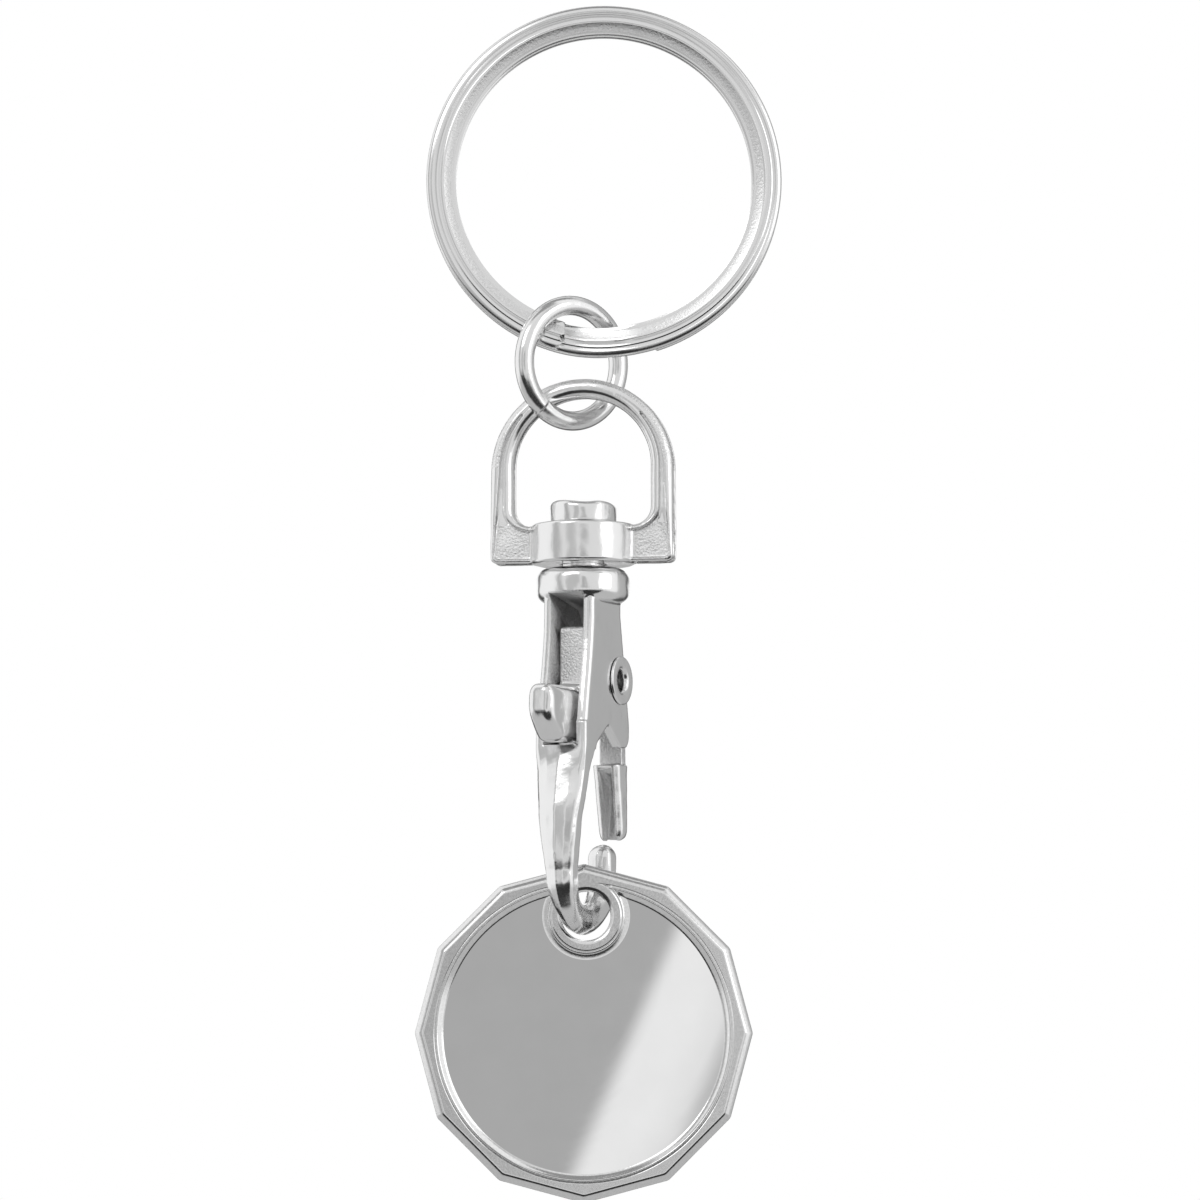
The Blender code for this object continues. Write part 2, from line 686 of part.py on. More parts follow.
def lever_outline():
    """Side view of the lever about its pivot, clockwise from the plate's top."""
    boss_r = LEVER_BOSS_D / 2
    plate_front = PLATE_SINK - BODY_BACK - PIVOT_REACH
    plate_back = plate_front + PLATE_T
    stop = SLOT_FLOOR + STOP_GAP - PIVOT_Z
    spine = -SPINE_BACK - PIVOT_REACH
    nose = spine - TAB_REACH + SPINE_LEAN
    tab_top = stop + TAB_H
    neck = NECK_REACH - PIVOT_REACH
    back = GATE_REACH - PIVOT_REACH
    face = back - GATE_DEPTH
    low_face = back - GATE_TIP_DEPTH
    elbow = -circle_height(boss_r, ARM_DROP)
    plate = [
        (plate_front, tab_top, 0),
        (plate_front, PLATE_RISE, PLATE_CORNER_R),
        (plate_back, PLATE_RISE, PLATE_CORNER_R),
        (plate_back, ARM_DROP, PLATE_CORNER_R),
        (elbow, ARM_DROP, 0),
    ]
    start = math.degrees(math.atan2(ARM_DROP, elbow))
    boss = [(x, z, 0) for x, z in arc(0, 0, boss_r, start, LEVER_BOSS_END_DEG, LEVER_BOSS_STEPS)]
    gate = [
        (neck, NECK_T * 2 - GATE_DROP, NECK_T),
        (neck, -GATE_DROP, 0),
        (back, -GATE_DROP - NECK_T / 2, NECK_T / 2),
        (back, -circle_height(GATE_LENGTH, back), GATE_CORNER_R),
        (low_face, -circle_height(GATE_LENGTH, low_face), 0),
        (face, -GATE_DROP - NECK_T / 2, NECK_T / 2),
        (neck - NECK_T, -GATE_DROP, 0),
        (neck - NECK_T, -boss_r - NECK_T, NECK_T),
        (boss_r, -boss_r, NECK_T),
        (-boss_r, -boss_r, NECK_T),
    ]
    tab = [
        (plate_front + PLATE_T / 4, stop, 0),
        (nose + TAB_CHAMFER, stop, TAB_NOSE_R / 2),
        (nose, stop + TAB_CHAMFER, TAB_NOSE_R),
        (nose, tab_top, TAB_NOSE_R / 2),
    ]
    return fillet(plate + boss[1:] + gate + tab)


def make_gate_lever(parent, material):
    half_t = LEVER_T / 2
    side = slab(lever_outline(), -half_t, half_t)
    lever = add_mesh("gate_lever", side, parent, material, smooth=False)
    back = GATE_REACH - PIVOT_REACH
    floor = back - CHANNEL_FLOOR_T
    face = back - GATE_DEPTH - OVERRUN
    top = -GATE_DROP - NECK_T
    bottom = -GATE_LENGTH - OVERRUN
    channel = [(face, top), (floor, top), (floor, bottom), (face, bottom)]
    tool = add_tool("lever_channel", slab(channel, -CHANNEL_W / 2, CHANNEL_W / 2), parent)
    boolean(lever, tool, 'DIFFERENCE')
    reach = half_t + OVERRUN
    bore = cylinder_y(RIVET_D / 2 + RIVET_CLEARANCE, -reach, reach)
    boolean(lever, add_tool("lever_bore", bore, parent), 'DIFFERENCE')
    return lever


def spring_points():
    """Coil along X with straight ends one wire thick, from the plate to the front wall."""
    start = PLATE_SINK - BODY_BACK + PLATE_T + SPRING_SEAT_GAP
    end = FRONT_WALL_BACK - SPRING_SEAT_GAP
    coil_r = (SPRING_D - SPRING_WIRE_D) / 2
    first, last = start + SPRING_WIRE_D, end - SPRING_WIRE_D
    count = SPRING_TURNS * SPRING_TURN_POINTS
    z = PIVOT_Z + SPRING_RISE
    points = [Vector((start, 0, z + coil_r))]
    for step in range(count + 1):
        angle = math.tau * step / SPRING_TURN_POINTS
        x = first + (last - first) * step / count
        points.append(Vector((x, coil_r * math.sin(angle), z + coil_r * math.cos(angle))))
    points.append(Vector((end, 0, z + coil_r)))
    return points


def least_self_gap(points, diameter, apart):
    """Least gap between stretches of a tube at least this many points apart."""
    pieces = 6
    fine = []
    for before, after in zip(points, points[1:]):
        fine += [before.lerp(after, piece / pieces) for piece in range(pieces)]
    least = math.inf
    for index, point in enumerate(fine):
        for other in fine[index + apart * pieces:]:
            least = min(least, (point - other).length)
    return least - diameter


def make_gate_spring(parent, material):
    points = spring_points()
    curve = bpy.data.curves.new("gate_spring", 'CURVE')
    curve.dimensions = '3D'
    curve.bevel_depth = SPRING_WIRE_D / 2
    curve.bevel_resolution = 1
    curve.use_fill_caps = True
    spline = curve.splines.new('POLY')
    spline.points.add(len(points) - 1)
    for place, point in zip(spline.points, points):
        place.co = (*point, 1)
    spring = bpy.data.objects.new("gate_spring", curve)
    bpy.context.collection.objects.link(spring)
    spring.parent = parent
    curve.materials.append(material)
    gap = least_self_gap(points, SPRING_WIRE_D, SPRING_TURN_POINTS // 2)
    print(f"gate_spring least gap to itself {gap / MM:.2f} mm")
    return spring


def make_token(parent, material):
    """Token about its hole's centre, front face towards -Y."""
    half_t = TOKEN_T / 2
    corner_r = TOKEN_ACROSS_CORNERS / 2
    centre_x, centre_z = -TOKEN_HOLE_SIDE, -TOKEN_HOLE_RISE
    outline = arc(centre_x, centre_z, corner_r, 0, 360, TOKEN_SIDES)[:-1]
    token = add_mesh("token", slab(outline, -half_t, half_t), parent, material, smooth=False)
    round_edges(token, TOKEN_EDGE, steps=1, angle_deg=60)
    boss = cylinder_y(TOKEN_BOSS_D / 2, -half_t - 2 * OVERRUN, half_t + 2 * OVERRUN)
    boss = add_tool("token_boss", boss, parent)
    floor = half_t - TOKEN_RECESS_DEPTH
    for side, name in ((-1, "token_front_recess"), (1, "token_back_recess")):
        low, high = sorted((side * floor, side * (half_t + OVERRUN)))
        recess = shift(cylinder_y(TOKEN_RECESS_D / 2, low, high), x=centre_x, z=centre_z)
        recess = add_tool(name, recess, parent)
        boolean(recess, boss, 'DIFFERENCE')
        boolean(token, recess, 'DIFFERENCE')
    hole = cylinder_y(TOKEN_HOLE_D / 2, -half_t - OVERRUN, half_t + OVERRUN)
    boolean(token, add_tool("token_hole", hole, parent), 'DIFFERENCE')
    return token


def main():
    clear_scene()
    wire = metal("drawn_steel", STEEL, 0.28)
    plated = metal("plated_zinc", PLATED, 0.2)
    rivet = metal("plated_rivet", PLATED, 0.25)
    mirror = metal("polished_token", MIRROR, 0.06)

    make_split_ring(wire)
    ring_low_z = RING_CENTRE_Z - circle_height(RING_MID_R, JUMP_SIDE)
    jump_axis = add_empty("jump_axis", (JUMP_SIDE, 0, ring_low_z))
    make_jump_ring(jump_axis, ring_low_z, plated)
    eye_place = (EYE_SIDE - JUMP_SIDE, 0, ARCH_Z - ring_low_z)
    eye_axis = add_empty("eye_axis", eye_place, EYE_TURN_DEG, jump_axis)
    make_swivel_eye(eye_axis, plated)
    clasp_turn = 90 - CLASP_TURN_DEG - EYE_TURN_DEG
    swivel_axis = add_empty("swivel_axis", (0, 0, SEAT_Z - ARCH_Z), clasp_turn, eye_axis)
    make_hook_body(swivel_axis, plated)
    make_pivot_rivet(swivel_axis, rivet)
    gate_axis = add_empty("gate_axis", (PIVOT_REACH, 0, PIVOT_Z), 0, swivel_axis)
    make_gate_lever(gate_axis, plated)
    make_gate_spring(swivel_axis, wire)
    turn = math.radians(CLASP_TURN_DEG - 90)
    side, back = TOKEN_SHIFT_SIDE, TOKEN_SHIFT_BACK
    token_place = (
        side * math.cos(turn) - back * math.sin(turn),
        side * math.sin(turn) + back * math.cos(turn),
        HOOK_BOTTOM + HOOK_DEPTH - TOKEN_HOLE_D / 2 + TOKEN_LIFT,
    )
    token_turn = TOKEN_TURN_DEG + CLASP_TURN_DEG - 90
    token_axis = add_empty("token_axis", token_place, token_turn, swivel_axis)
    make_token(token_axis, mirror)
    bpy.context.view_layer.update()


main()
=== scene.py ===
"""Looks of the trolley-token keyring: plated metal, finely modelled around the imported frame.

Sizes are in millimetres; every piece is modelled in the frame of the joint that carries it
and scaled to metres as it is placed.
"""

import json
import math

import bmesh
import bpy
from mathutils import Matrix, Vector, noise


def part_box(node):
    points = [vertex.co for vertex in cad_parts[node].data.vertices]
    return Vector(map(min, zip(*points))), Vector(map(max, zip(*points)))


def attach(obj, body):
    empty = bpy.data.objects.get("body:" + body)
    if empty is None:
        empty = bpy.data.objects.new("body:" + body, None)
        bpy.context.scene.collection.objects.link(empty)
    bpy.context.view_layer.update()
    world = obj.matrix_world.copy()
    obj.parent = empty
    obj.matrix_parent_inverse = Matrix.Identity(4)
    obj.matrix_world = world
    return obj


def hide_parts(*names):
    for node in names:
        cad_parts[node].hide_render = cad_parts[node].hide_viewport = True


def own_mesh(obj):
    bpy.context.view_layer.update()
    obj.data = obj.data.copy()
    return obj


MM = 0.001

# Split ring
RING_OUTER_D = 25.0
RING_BAND = 2.1
RING_TURN_T = 0.86
RING_TURN_GAP = 0.1
RING_FRONT_END_DEG = 15.5
RING_STEP_START_DEG = 346.0
RING_STEP_END_DEG = 376.0
RING_BACK_END_DEG = 703.0
RING_STEPS = 520
# Distance in from the outer edge, and height of the face there as a share of half a turn
RING_FACE_SHARES = [
    (0.0, 0.35), (0.015, 0.55), (0.05, 0.74), (0.12, 0.9), (0.19, 0.97), (0.23, 0.9), (0.3, 0.9),
    (0.34, 1.0), (0.38, 0.95), (0.49, 0.93), (0.53, 1.0), (0.57, 0.98), (0.6, 0.92), (0.84, 0.46),
    (0.88, 0.46), (0.94, 0.42), (1.0, 0.3),
]
RING_ROUGH_FROM, RING_ROUGH_TO = 0.6, 0.86
# How far the rough cut ends reach, and their unevenness along the wire and across it
RING_CUT_STEPS = 3
RING_CUT_DEPTH = 0.5
RING_CUT_GRAIN = (2.2, 4.0)

# Jump ring
JUMP_OUTER_D = 9.5
JUMP_WIRE_D = 1.38
JUMP_BUTT_GAP = 0.16
JUMP_BUTT_DEG = 229.0
JUMP_TURN_DEG = 36.0
JUMP_TILT_DEG = 5.0
JUMP_STEPS = 160
JUMP_SIDES = 32

# Swivel eye, about the centre of its inner arch
EYE_W = 13.0
EYE_LEG_W = 1.65
EYE_ARCH_H = 1.35
EYE_DEPTH = 2.0
EYE_EDGE_R = 0.65
EYE_WINDOW_H = 9.0
EYE_WINDOW_R = 1.2
EYE_BASE_H = 2.65
EYE_FOOT_R = 0.45
EYE_BOSS_D = 7.3
EYE_BOSS_RISE = 0.08
EYE_BOSS_EDGE_R = 0.2
# Share of the full edge rounding at the foot, and where it grows to full
EYE_FOOT_ROUNDING = 0.4
EYE_ROUNDING_DROP = 0.6
EYE_ROUNDING_FADE = 2.0
EYE_SOFTENING = 6
# Unevenness of the casting, its size, and the share of it above the foot
EYE_BATTER, EYE_BATTER_SIZE = 0.035, 1.3
EYE_BATTER_ABOVE = 0.2
EYE_BATTER_RISE = 0.6
EYE_BATTER_FADE = 0.8
EYE_RIM_FROM = 0.75
EYE_RIM_GRAIN = 0.6
STEM_D = 3.0
STEM_CLEARANCE = 0.1

# Clasp, about the top of its collar
HEAD_D = 4.7
HEAD_H = 1.3
HEAD_EDGE_R = 0.35
HEAD_CROWN = 0.12
HEAD_PLAY = 0.12
HEAD_FOOT_EDGE_R = 0.1
HEAD_LUMP_H = 0.3
HEAD_LUMP_SCALE = 0.45
HEAD_LUMP_PLACE = (3, 0.3)
NECK_GAP = 0.3
COLLAR_D = 6.5
COLLAR_H = 2.4
COLLAR_R = 0.8
BODY_T = 3.9
BODY_BACK = 2.6
BODY_FRONT = 2.35
BODY_EDGE_R = 0.45
SPINE_LEAN = 1.2
CHEEK_FOOT_DROP = 0.3
CHEEK_STEPS = 24
LUG_REACH = 3.78
LUG_R = 0.85
LUG_RISE = 0.05
LUG_BULGE = 0.06
NOTCH_H = 1.5
SLOT_W = 2.47
SLOT_H = 10.6
SLOT_BITE = 0.5
FRONT_WALL_T = 0.75
FRONT_WALL_H = 3.1
HOOK_TIP_RISE = 6.363
HOOK_BEND_R = 3.3
HOOK_SIDE = 0.16
HOOK_W = 1.5
HOOK_DEPTH = 2.0
TIP_D = 1.8
SHANK_DEPTH = 1.9
SHANK_BULGE = 0.45
SHANK_LAP = 1.6
SHANK_TAPER = 0.74
SHANK_TAPER_POWER = 1.2
SHANK_RIDGE_GROWTH = 4
SHANK_STEPS = 30
BEND_STEPS = 40
TIP_DEGREES = (0, 15, 30, 45, 60, 75, 85)
TIP_RIDGE = 0.8
BODY_SOFTENING = 5
# Unevenness of the collar and of the hook: height, size, and how softly it starts
COLLAR_BATTER, COLLAR_BATTER_SIZE, COLLAR_BATTER_FADE = 0.06, 1.1, 0.4
HOOK_BATTER, HOOK_BATTER_SIZE, HOOK_BATTER_FADE = 0.05, 1.3, 2.0
SLOT_GRAIN = 0.8
# Painted shade in the slot: share on its inner walls and on its floor
SLOT_WALL_PAINTED_SHADE = 0.5
SLOT_FLOOR_PAINTED_SHADE = 0.05
SLOT_EDGE_ZONE = 0.12

# Pivot rivet
PIVOT_REACH = 1.94
PIVOT_DROP = 5.35
RIVET_D = 2.3
RIVET_BORE_D = 1.5
RIVET_FLANGE_D = 3.4
RIVET_FLANGE_T = 0.18
RIVET_CLEARANCE = 0.05
RIVET_UNDER_R = 0.05

# Gate lever, about its pivot
LEVER_T = 2.0
LEVER_BOSS_D = 3.5
PLATE_SINK = 0.45
PLATE_T = 1.0
PLATE_RISE = 3.6
PLATE_CORNER_R = 0.3
PLATE_CORNER_GROWTH = 1.4
PLATE_NARROWING = 0.1
PLATE_EXTRA_SINK = 0.25
PLATE_FADE = 0.4
ARM_DROP = 1.05
TAB_REACH = 4.6
TAB_H = 3.95
TAB_CHAMFER = 1.65
TAB_NOSE_R = 0.9
TAB_EDGE_R = 0.7
STOP_GAP = 0.08
NECK_T = 0.7
NECK_REACH = 5.2
NECK_W = 1.75
GATE_REACH = 5.75
GATE_DEPTH = 2.25
GATE_TIP_DEPTH = 1.4
GATE_TIP_W = 1.8
GATE_DROP = 5.4
GATE_LENGTH = 11.3
GATE_CORNER_R = 0.9
GATE_TIP_CLEARANCE = 0.15
CHANNEL_W = 1.0
CHANNEL_FLOOR_T = 0.6
# Painted shade inside the gate's channel
CHANNEL_PAINTED_SHADE = 0.12
SLEEVE_ROOM = 0.1
SLEEVE_FACE_R = 0.5
SLEEVE_STEPS = 24
# Shares of the tip's rounding that the sleeve's back and sides get, and roundness of its back
SLEEVE_BACK_SHARE, SLEEVE_SIDE_SHARE = 0.8, 0.3
SLEEVE_ROUNDNESS = 0.8
LEVER_STOP_R = 0.1
LEVER_VOXEL = 0.06
LEVER_SOFTENING = 8
LEVER_BATTER, LEVER_BATTER_SIZE = 0.025, 0.9
# Where the channel, the plate's face and the neck are grainy
CHANNEL_FROM_X = 1.0
PLATE_GRAIN_X, PLATE_GRAIN_Z = -2.4, -0.2
NECK_GRAIN_Z, NECK_GRAIN_LAP = -2.5, 0.2

# Gate spring
SPRING_D = 1.5
SPRING_WIRE_D = 0.22
SPRING_RISE = 2.85
SPRING_SEAT_GAP = 0.08
SPRING_TURNS = 3
SPRING_TURN_POINTS = 24
SPRING_SIDES = 10

# Token, about its hole
TOKEN_ACROSS_CORNERS = 23.43
TOKEN_SIDES = 12
TOKEN_T = 1.9
TOKEN_RECESS_D = 20.3
TOKEN_RECESS_DEPTH = 0.35
TOKEN_HOLE_D = 3.4
TOKEN_BOSS_D = 5.3
TOKEN_HOLE_RISE = 8.1
TOKEN_HOLE_SIDE = 0.15
TOKEN_CORNER_R = 0.6
TOKEN_CORNER_STEPS = 6
TOKEN_ROUND_STEPS = 288
BOSS_ROUND_STEPS = 144
# Lip round the field: distance out from the recess's radius, and rise from the field
TOKEN_LIP = [
    (-0.42, 0.0), (-0.36, 0.025), (-0.28, 0.08), (-0.12, 0.2), (-0.04, 0.28), (0.02, 0.31),
    (0.06, 0.3), (0.1, 0.24), (0.15, 0.23), (0.19, 0.27), (0.22, 0.33), (0.26, 0.351),
]
# Shoulder of the boss: distance out from its radius, and rise from the field
TOKEN_SHOULDER = [
    (0.4, 0.001), (0.36, 0.006), (0.1, 0.045), (0.06, 0.06), (0.03, 0.1), (0.01, 0.22),
    (-0.02, 0.28), (-0.07, 0.3), (-0.11, 0.27), (-0.16, 0.27), (-0.2, 0.31), (-0.28, 0.34),
]
# Outer edge: distance in from the corners, and drop from the flat face
TOKEN_EDGE = [
    (0.0, 0.5), (0.03, 0.42), (0.08, 0.37), (0.22, 0.21), (0.28, 0.165), (0.42, 0.068),
    (0.48, 0.036), (0.54, 0.012), (0.58, 0.003), (0.63, 0.0),
]
# Mouth of the hole: distance out from its radius, and depth below the face
TOKEN_HOLE_MOUTH = [(0.3, 0.0), (0.12, 0.04), (0.03, 0.12), (0.0, 0.25)]
TOKEN_FIELD_MARGIN = 0.005
# How squarely a face looks to front or back to be clean, and to be shaded flat
TOKEN_CLEAN_NORMAL, TOKEN_FLAT_NORMAL = 0.99, 0.9999

# Light tent, and the height of the middle of what the token mirrors on it
TENT_R = 900.0
TENT_CENTRE_Z = -40.0
TENT_ROWS = 400
TENT_SPOTS = 240
MIRROR_CENTRE_Z = -62.0
MIRROR_DEG = 4.0
MIRROR_FADE_DEG = 3.0

# Floor, and the light that the world and the floor give
FLOOR_R = 2500.0
FLOOR_Z = -150.0
FLOOR_T = 2.0
FLOOR_SHADE = 0.9
FLOOR_ROUGHNESS = 0.9
FLOOR_GLOW = 0.27
WORLD_LIGHT = 0.7

# Metal textures: scales of the cloudy, speckled and wavy noise, and the range that they are read in
CLOUD_SCALE = 400.0
SPECKLE_SCALE = 6500.0
WAVE_SCALE = 700.0
NOISE_LOW, NOISE_HIGH = 0.3, 0.7
CLOUD_DARKEST = 0.97
SPECKLE_DARKEST = 0.86
# Colour range of the painted shade that darkens the slot and the gate's channel
PAINTED_SHADE_DARKEST, PAINTED_SHADE_LIGHTEST = 0.1, 0.4
# Name, shade, roughness clean and in the grain, height of waves and grain, and the grain elsewhere
METALS = [
    ("bright_plate", 0.93, (0.13, 0.22), (0.3, 0.45), 0.03, 0.07, 0.05),
    ("drawn_plate", 0.9, (0.12, 0.22), (0.25, 0.38), 0.006, 0.02, 0.05),
    ("mirror_plate", 0.93, (0.01, 0.02), (0.1, 0.15), 0.0, 0.003, 0.0),
    ("spring_wire", 0.6, (0.25, 0.35), (0.3, 0.4), 0.002, 0.01, 0.05),
]

ROUND_STEPS = 96
CORNER_STEPS = 8
OVERRUN = 1.0
VOXEL = 0.07
MARGIN = 0.1
FLAT_NORMAL = 0.93

# Camera, from the photograph: millimetres at the object, and its 1200 pixel frame
PHOTO_SIZE = 1200
PIXELS_PER_MM = 14.3
RING_CENTRE_PIXEL = (604.0, 177.0)
CAMERA_UP_DEG = -5.5
CAMERA_DISTANCE = 350.0
SENSOR_W = 36
CLIP_START_M = 0.01

# Derived sizes
RING_R = RING_OUTER_D / 2
RING_CENTRE_Z = RING_BAND - RING_R
RING_LAYER_Y = (RING_TURN_T + RING_TURN_GAP) / 2
JUMP_R = (JUMP_OUTER_D - JUMP_WIRE_D) / 2
EYE_HALF_W = EYE_W / 2
EYE_INNER_HALF_W = EYE_HALF_W - EYE_LEG_W
WINDOW_BOTTOM = EYE_INNER_HALF_W - EYE_WINDOW_H
EYE_BOTTOM = WINDOW_BOTTOM - EYE_BASE_H
BODY_TOP = -COLLAR_H
PIVOT_Z = BODY_TOP - PIVOT_DROP
SLOT_TOP = BODY_TOP + SLOT_BITE
SLOT_FLOOR = SLOT_TOP - SLOT_H
SPINE_BACK = BODY_BACK + SPINE_LEAN
TIP_X = HOOK_BEND_R - HOOK_SIDE
SHANK_X = -HOOK_BEND_R - HOOK_SIDE
TIP_TOP = PIVOT_Z - math.sqrt((GATE_LENGTH + GATE_TIP_CLEARANCE) ** 2 - (TIP_X - PIVOT_REACH) ** 2)
BEND_Z = TIP_TOP - HOOK_TIP_RISE + HOOK_DEPTH / 2 + HOOK_BEND_R
SHANK_INNER = SHANK_DEPTH - SPINE_BACK

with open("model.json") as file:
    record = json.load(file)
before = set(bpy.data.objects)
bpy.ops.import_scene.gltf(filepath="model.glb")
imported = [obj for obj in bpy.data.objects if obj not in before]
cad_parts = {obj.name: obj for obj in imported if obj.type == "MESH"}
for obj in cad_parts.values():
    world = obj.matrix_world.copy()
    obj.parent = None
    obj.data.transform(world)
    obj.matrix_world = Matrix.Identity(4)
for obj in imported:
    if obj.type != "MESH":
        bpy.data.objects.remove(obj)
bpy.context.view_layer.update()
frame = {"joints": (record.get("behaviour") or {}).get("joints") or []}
joints = {joint["name"]: joint for joint in frame["joints"]}


def joint_place(name):
    """Matrix of a level joint's frame in millimetres: Y along its axis, Z up."""
    joint = joints[name]
    y = Vector(joint["axis"]).normalized()
    z = Vector((0, 0, 1))
    x = y.cross(z).normalized()
    place = Matrix((x, y, z)).transposed().to_4x4()
    place.translation = Vector(joint["pos_m"])
    return place


def clasp_place():
    """The clasp's frame: at the swivel, turned as the gate's pivot."""
    place = joint_place("gate_open")
    place.translation = Vector(joints["swivel_turn"]["pos_m"])
    return place


def arc(centre_x, centre_z, radius, start_deg, end_deg, steps):
    points = []
    for step in range(steps + 1):
        angle = math.radians(start_deg + (end_deg - start_deg) * step / steps)
        points.append((centre_x + radius * math.cos(angle), centre_z + radius * math.sin(angle)))
    return points


def fillet(corners, steps=CORNER_STEPS):
    """Outline points of a polygon whose corners (x, z, radius) are rounded."""
    points = []
    count = len(corners)
    for index, (x, z, radius) in enumerate(corners):
        here = Vector((x, z))
        if not radius:
            points.append((x, z))
            continue
        before = (Vector(corners[index - 1][:2]) - here).normalized()
        after = (Vector(corners[(index + 1) % count][:2]) - here).normalized()
        half = before.angle(after) / 2
        centre = here + (before + after).normalized() * (radius / math.sin(half))
        start = here + before * (radius / math.tan(half)) - centre
        end = here + after * (radius / math.tan(half)) - centre
        sweep = start.angle_signed(end)
        for step in range(steps + 1):
            arm = start.copy()
            arm.rotate(Matrix.Rotation(-sweep * step / steps, 2))
            points.append(tuple(centre + arm))
    return points


def slab(points, low, high):
    """Extrude an outline in the XZ plane from Y low to Y high."""
    bm = bmesh.new()
    front = [bm.verts.new((x, low, z)) for x, z in points]
    back = [bm.verts.new((x, high, z)) for x, z in points]
    bm.faces.new(front)
    bm.faces.new(list(reversed(back)))
    for index in range(len(points)):
        after = (index + 1) % len(points)
        bm.faces.new((front[index], back[index], back[after], front[after]))
    return bm


def skin(bm, here, there, steps):
    """Faces between two closed rows of points; a row of one point is a pole."""
    for step in range(steps):
        after = (step + 1) % steps
        corners = [here[step % len(here)], here[after % len(here)]]
        corners += [there[after % len(there)], there[step % len(there)]]
        bm.faces.new(list(dict.fromkeys(corners)))


def loft(rings, closed=False):
    """Skin a row of point rings; an open row gets a flat cap at each end."""
    bm = bmesh.new()
    rows = [[bm.verts.new(point) for point in ring] for ring in rings]
    for index in range(len(rows) - 1 + closed):
        skin(bm, rows[index], rows[(index + 1) % len(rows)], len(rows[0]))
    if not closed:
        bm.faces.new(rows[0])
        bm.faces.new(list(reversed(rows[-1])))
    return bm


def turned(profile, steps=ROUND_STEPS, axis='Z'):
    """Turn a profile of (radius, height) about an axis; radius zero is on the axis."""
    bm = bmesh.new()
    rows = []
    for radius, height in profile:
        spots = 1 if radius == 0 else steps
        row = []
        for step in range(spots):
            angle = math.tau * (step + 0.5) / steps
            across, along = radius * math.cos(angle), radius * math.sin(angle)
            row.append(bm.verts.new((across, along, height) if axis == 'Z' else (across, height, along)))
        rows.append(row)
    pairs = list(zip(rows, rows[1:]))
    if profile[0][0] and profile[-1][0]:
        pairs.append((rows[-1], rows[0]))
    for here, there in pairs:
        skin(bm, here, there, steps)
    return bm


def cylinder(radius, low, high, axis='Y'):
    return turned([(0, low), (radius, low), (radius, high), (0, high)], axis=axis)


def shift(bm, x=0.0, y=0.0, z=0.0):
    bmesh.ops.translate(bm, verts=bm.verts, vec=(x, y, z))
    return bm


def smooth_step(share):
    share = min(max(share, 0), 1)
    return share * share * (3 - 2 * share)


def lerp(first, second, share):
    return first + (second - first) * share


def link(name, data):
    obj = bpy.data.objects.new(name, data)
    bpy.context.collection.objects.link(obj)
    return obj


def make_object(name, *shapes):
    """One object of one or more closed shapes."""
    mesh = bpy.data.meshes.new(name)
    joined = bmesh.new()
    for bm in shapes:
        bmesh.ops.recalc_face_normals(bm, faces=bm.faces)
        part = bpy.data.meshes.new("part")
        bm.to_mesh(part)
        bm.free()
        joined.from_mesh(part)
        bpy.data.meshes.remove(part)
    joined.to_mesh(mesh)
    joined.free()
    return link(name, mesh)


def cut(obj, *tools):
    """Boolean each closed shape out of an object."""
    for index, bm in enumerate(tools):
        tool = make_object(f"{obj.name}_cut_{index}", bm)
        modifier = obj.modifiers.new(tool.name, 'BOOLEAN')
        modifier.operation = 'DIFFERENCE'
        modifier.solver = 'EXACT'
        modifier.object = tool
        obj["cutters"] = list(obj.get("cutters", [])) + [tool.name]


def remesh(obj, voxel=VOXEL):
    modifier = obj.modifiers.new("cast", 'REMESH')
    modifier.mode = 'VOXEL'
    modifier.voxel_size = voxel


def soften(obj, rounds):
    modifier = obj.modifiers.new("soft", 'SMOOTH')
    modifier.factor = 0.5
    modifier.iterations = rounds


def settle(obj):
    """Keep what the modifiers make as the object's own mesh, and drop the cutters."""
    depsgraph = bpy.context.evaluated_depsgraph_get()
    mesh = bpy.data.meshes.new_from_object(obj.evaluated_get(depsgraph))
    obj.modifiers.clear()
    obj.data = mesh
    for name in obj.get("cutters", []):
        bpy.data.objects.remove(bpy.data.objects[name])
    if "cutters" in obj:
        del obj["cutters"]


def dress(obj, place, material, body, node, sharp_deg=None):
    """Put a finished piece in its frame, give it its metal and let it stand for its node."""
    obj.data.transform(place @ Matrix.Scale(MM, 4))
    obj.data.shade_smooth()
    if sharp_deg:
        obj.data.set_sharp_from_angle(angle=math.radians(sharp_deg))
    obj.data.materials.clear()
    obj.data.materials.append(material)
    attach(obj, body)
    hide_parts(node)


def mark(obj, rule, name="grain"):
    """Store how grainy each face is, or its painted shade, from 0 to 1, as the rule says of its place and
    normal.
    """
    layer = obj.data.attributes.new(name, 'FLOAT', 'FACE')
    for face, value in zip(obj.data.polygons, layer.data):
        value.value = rule(face.center, face.normal)


def batter(obj, height, size, rule):
    """Push the skin in and out a little, as plate over a rough casting is uneven."""
    normals = [vertex.normal.copy() for vertex in obj.data.vertices]
    for vertex, normal in zip(obj.data.vertices, normals):
        vertex.co += normal * (height * rule(vertex.co) * noise.noise(vertex.co / size))


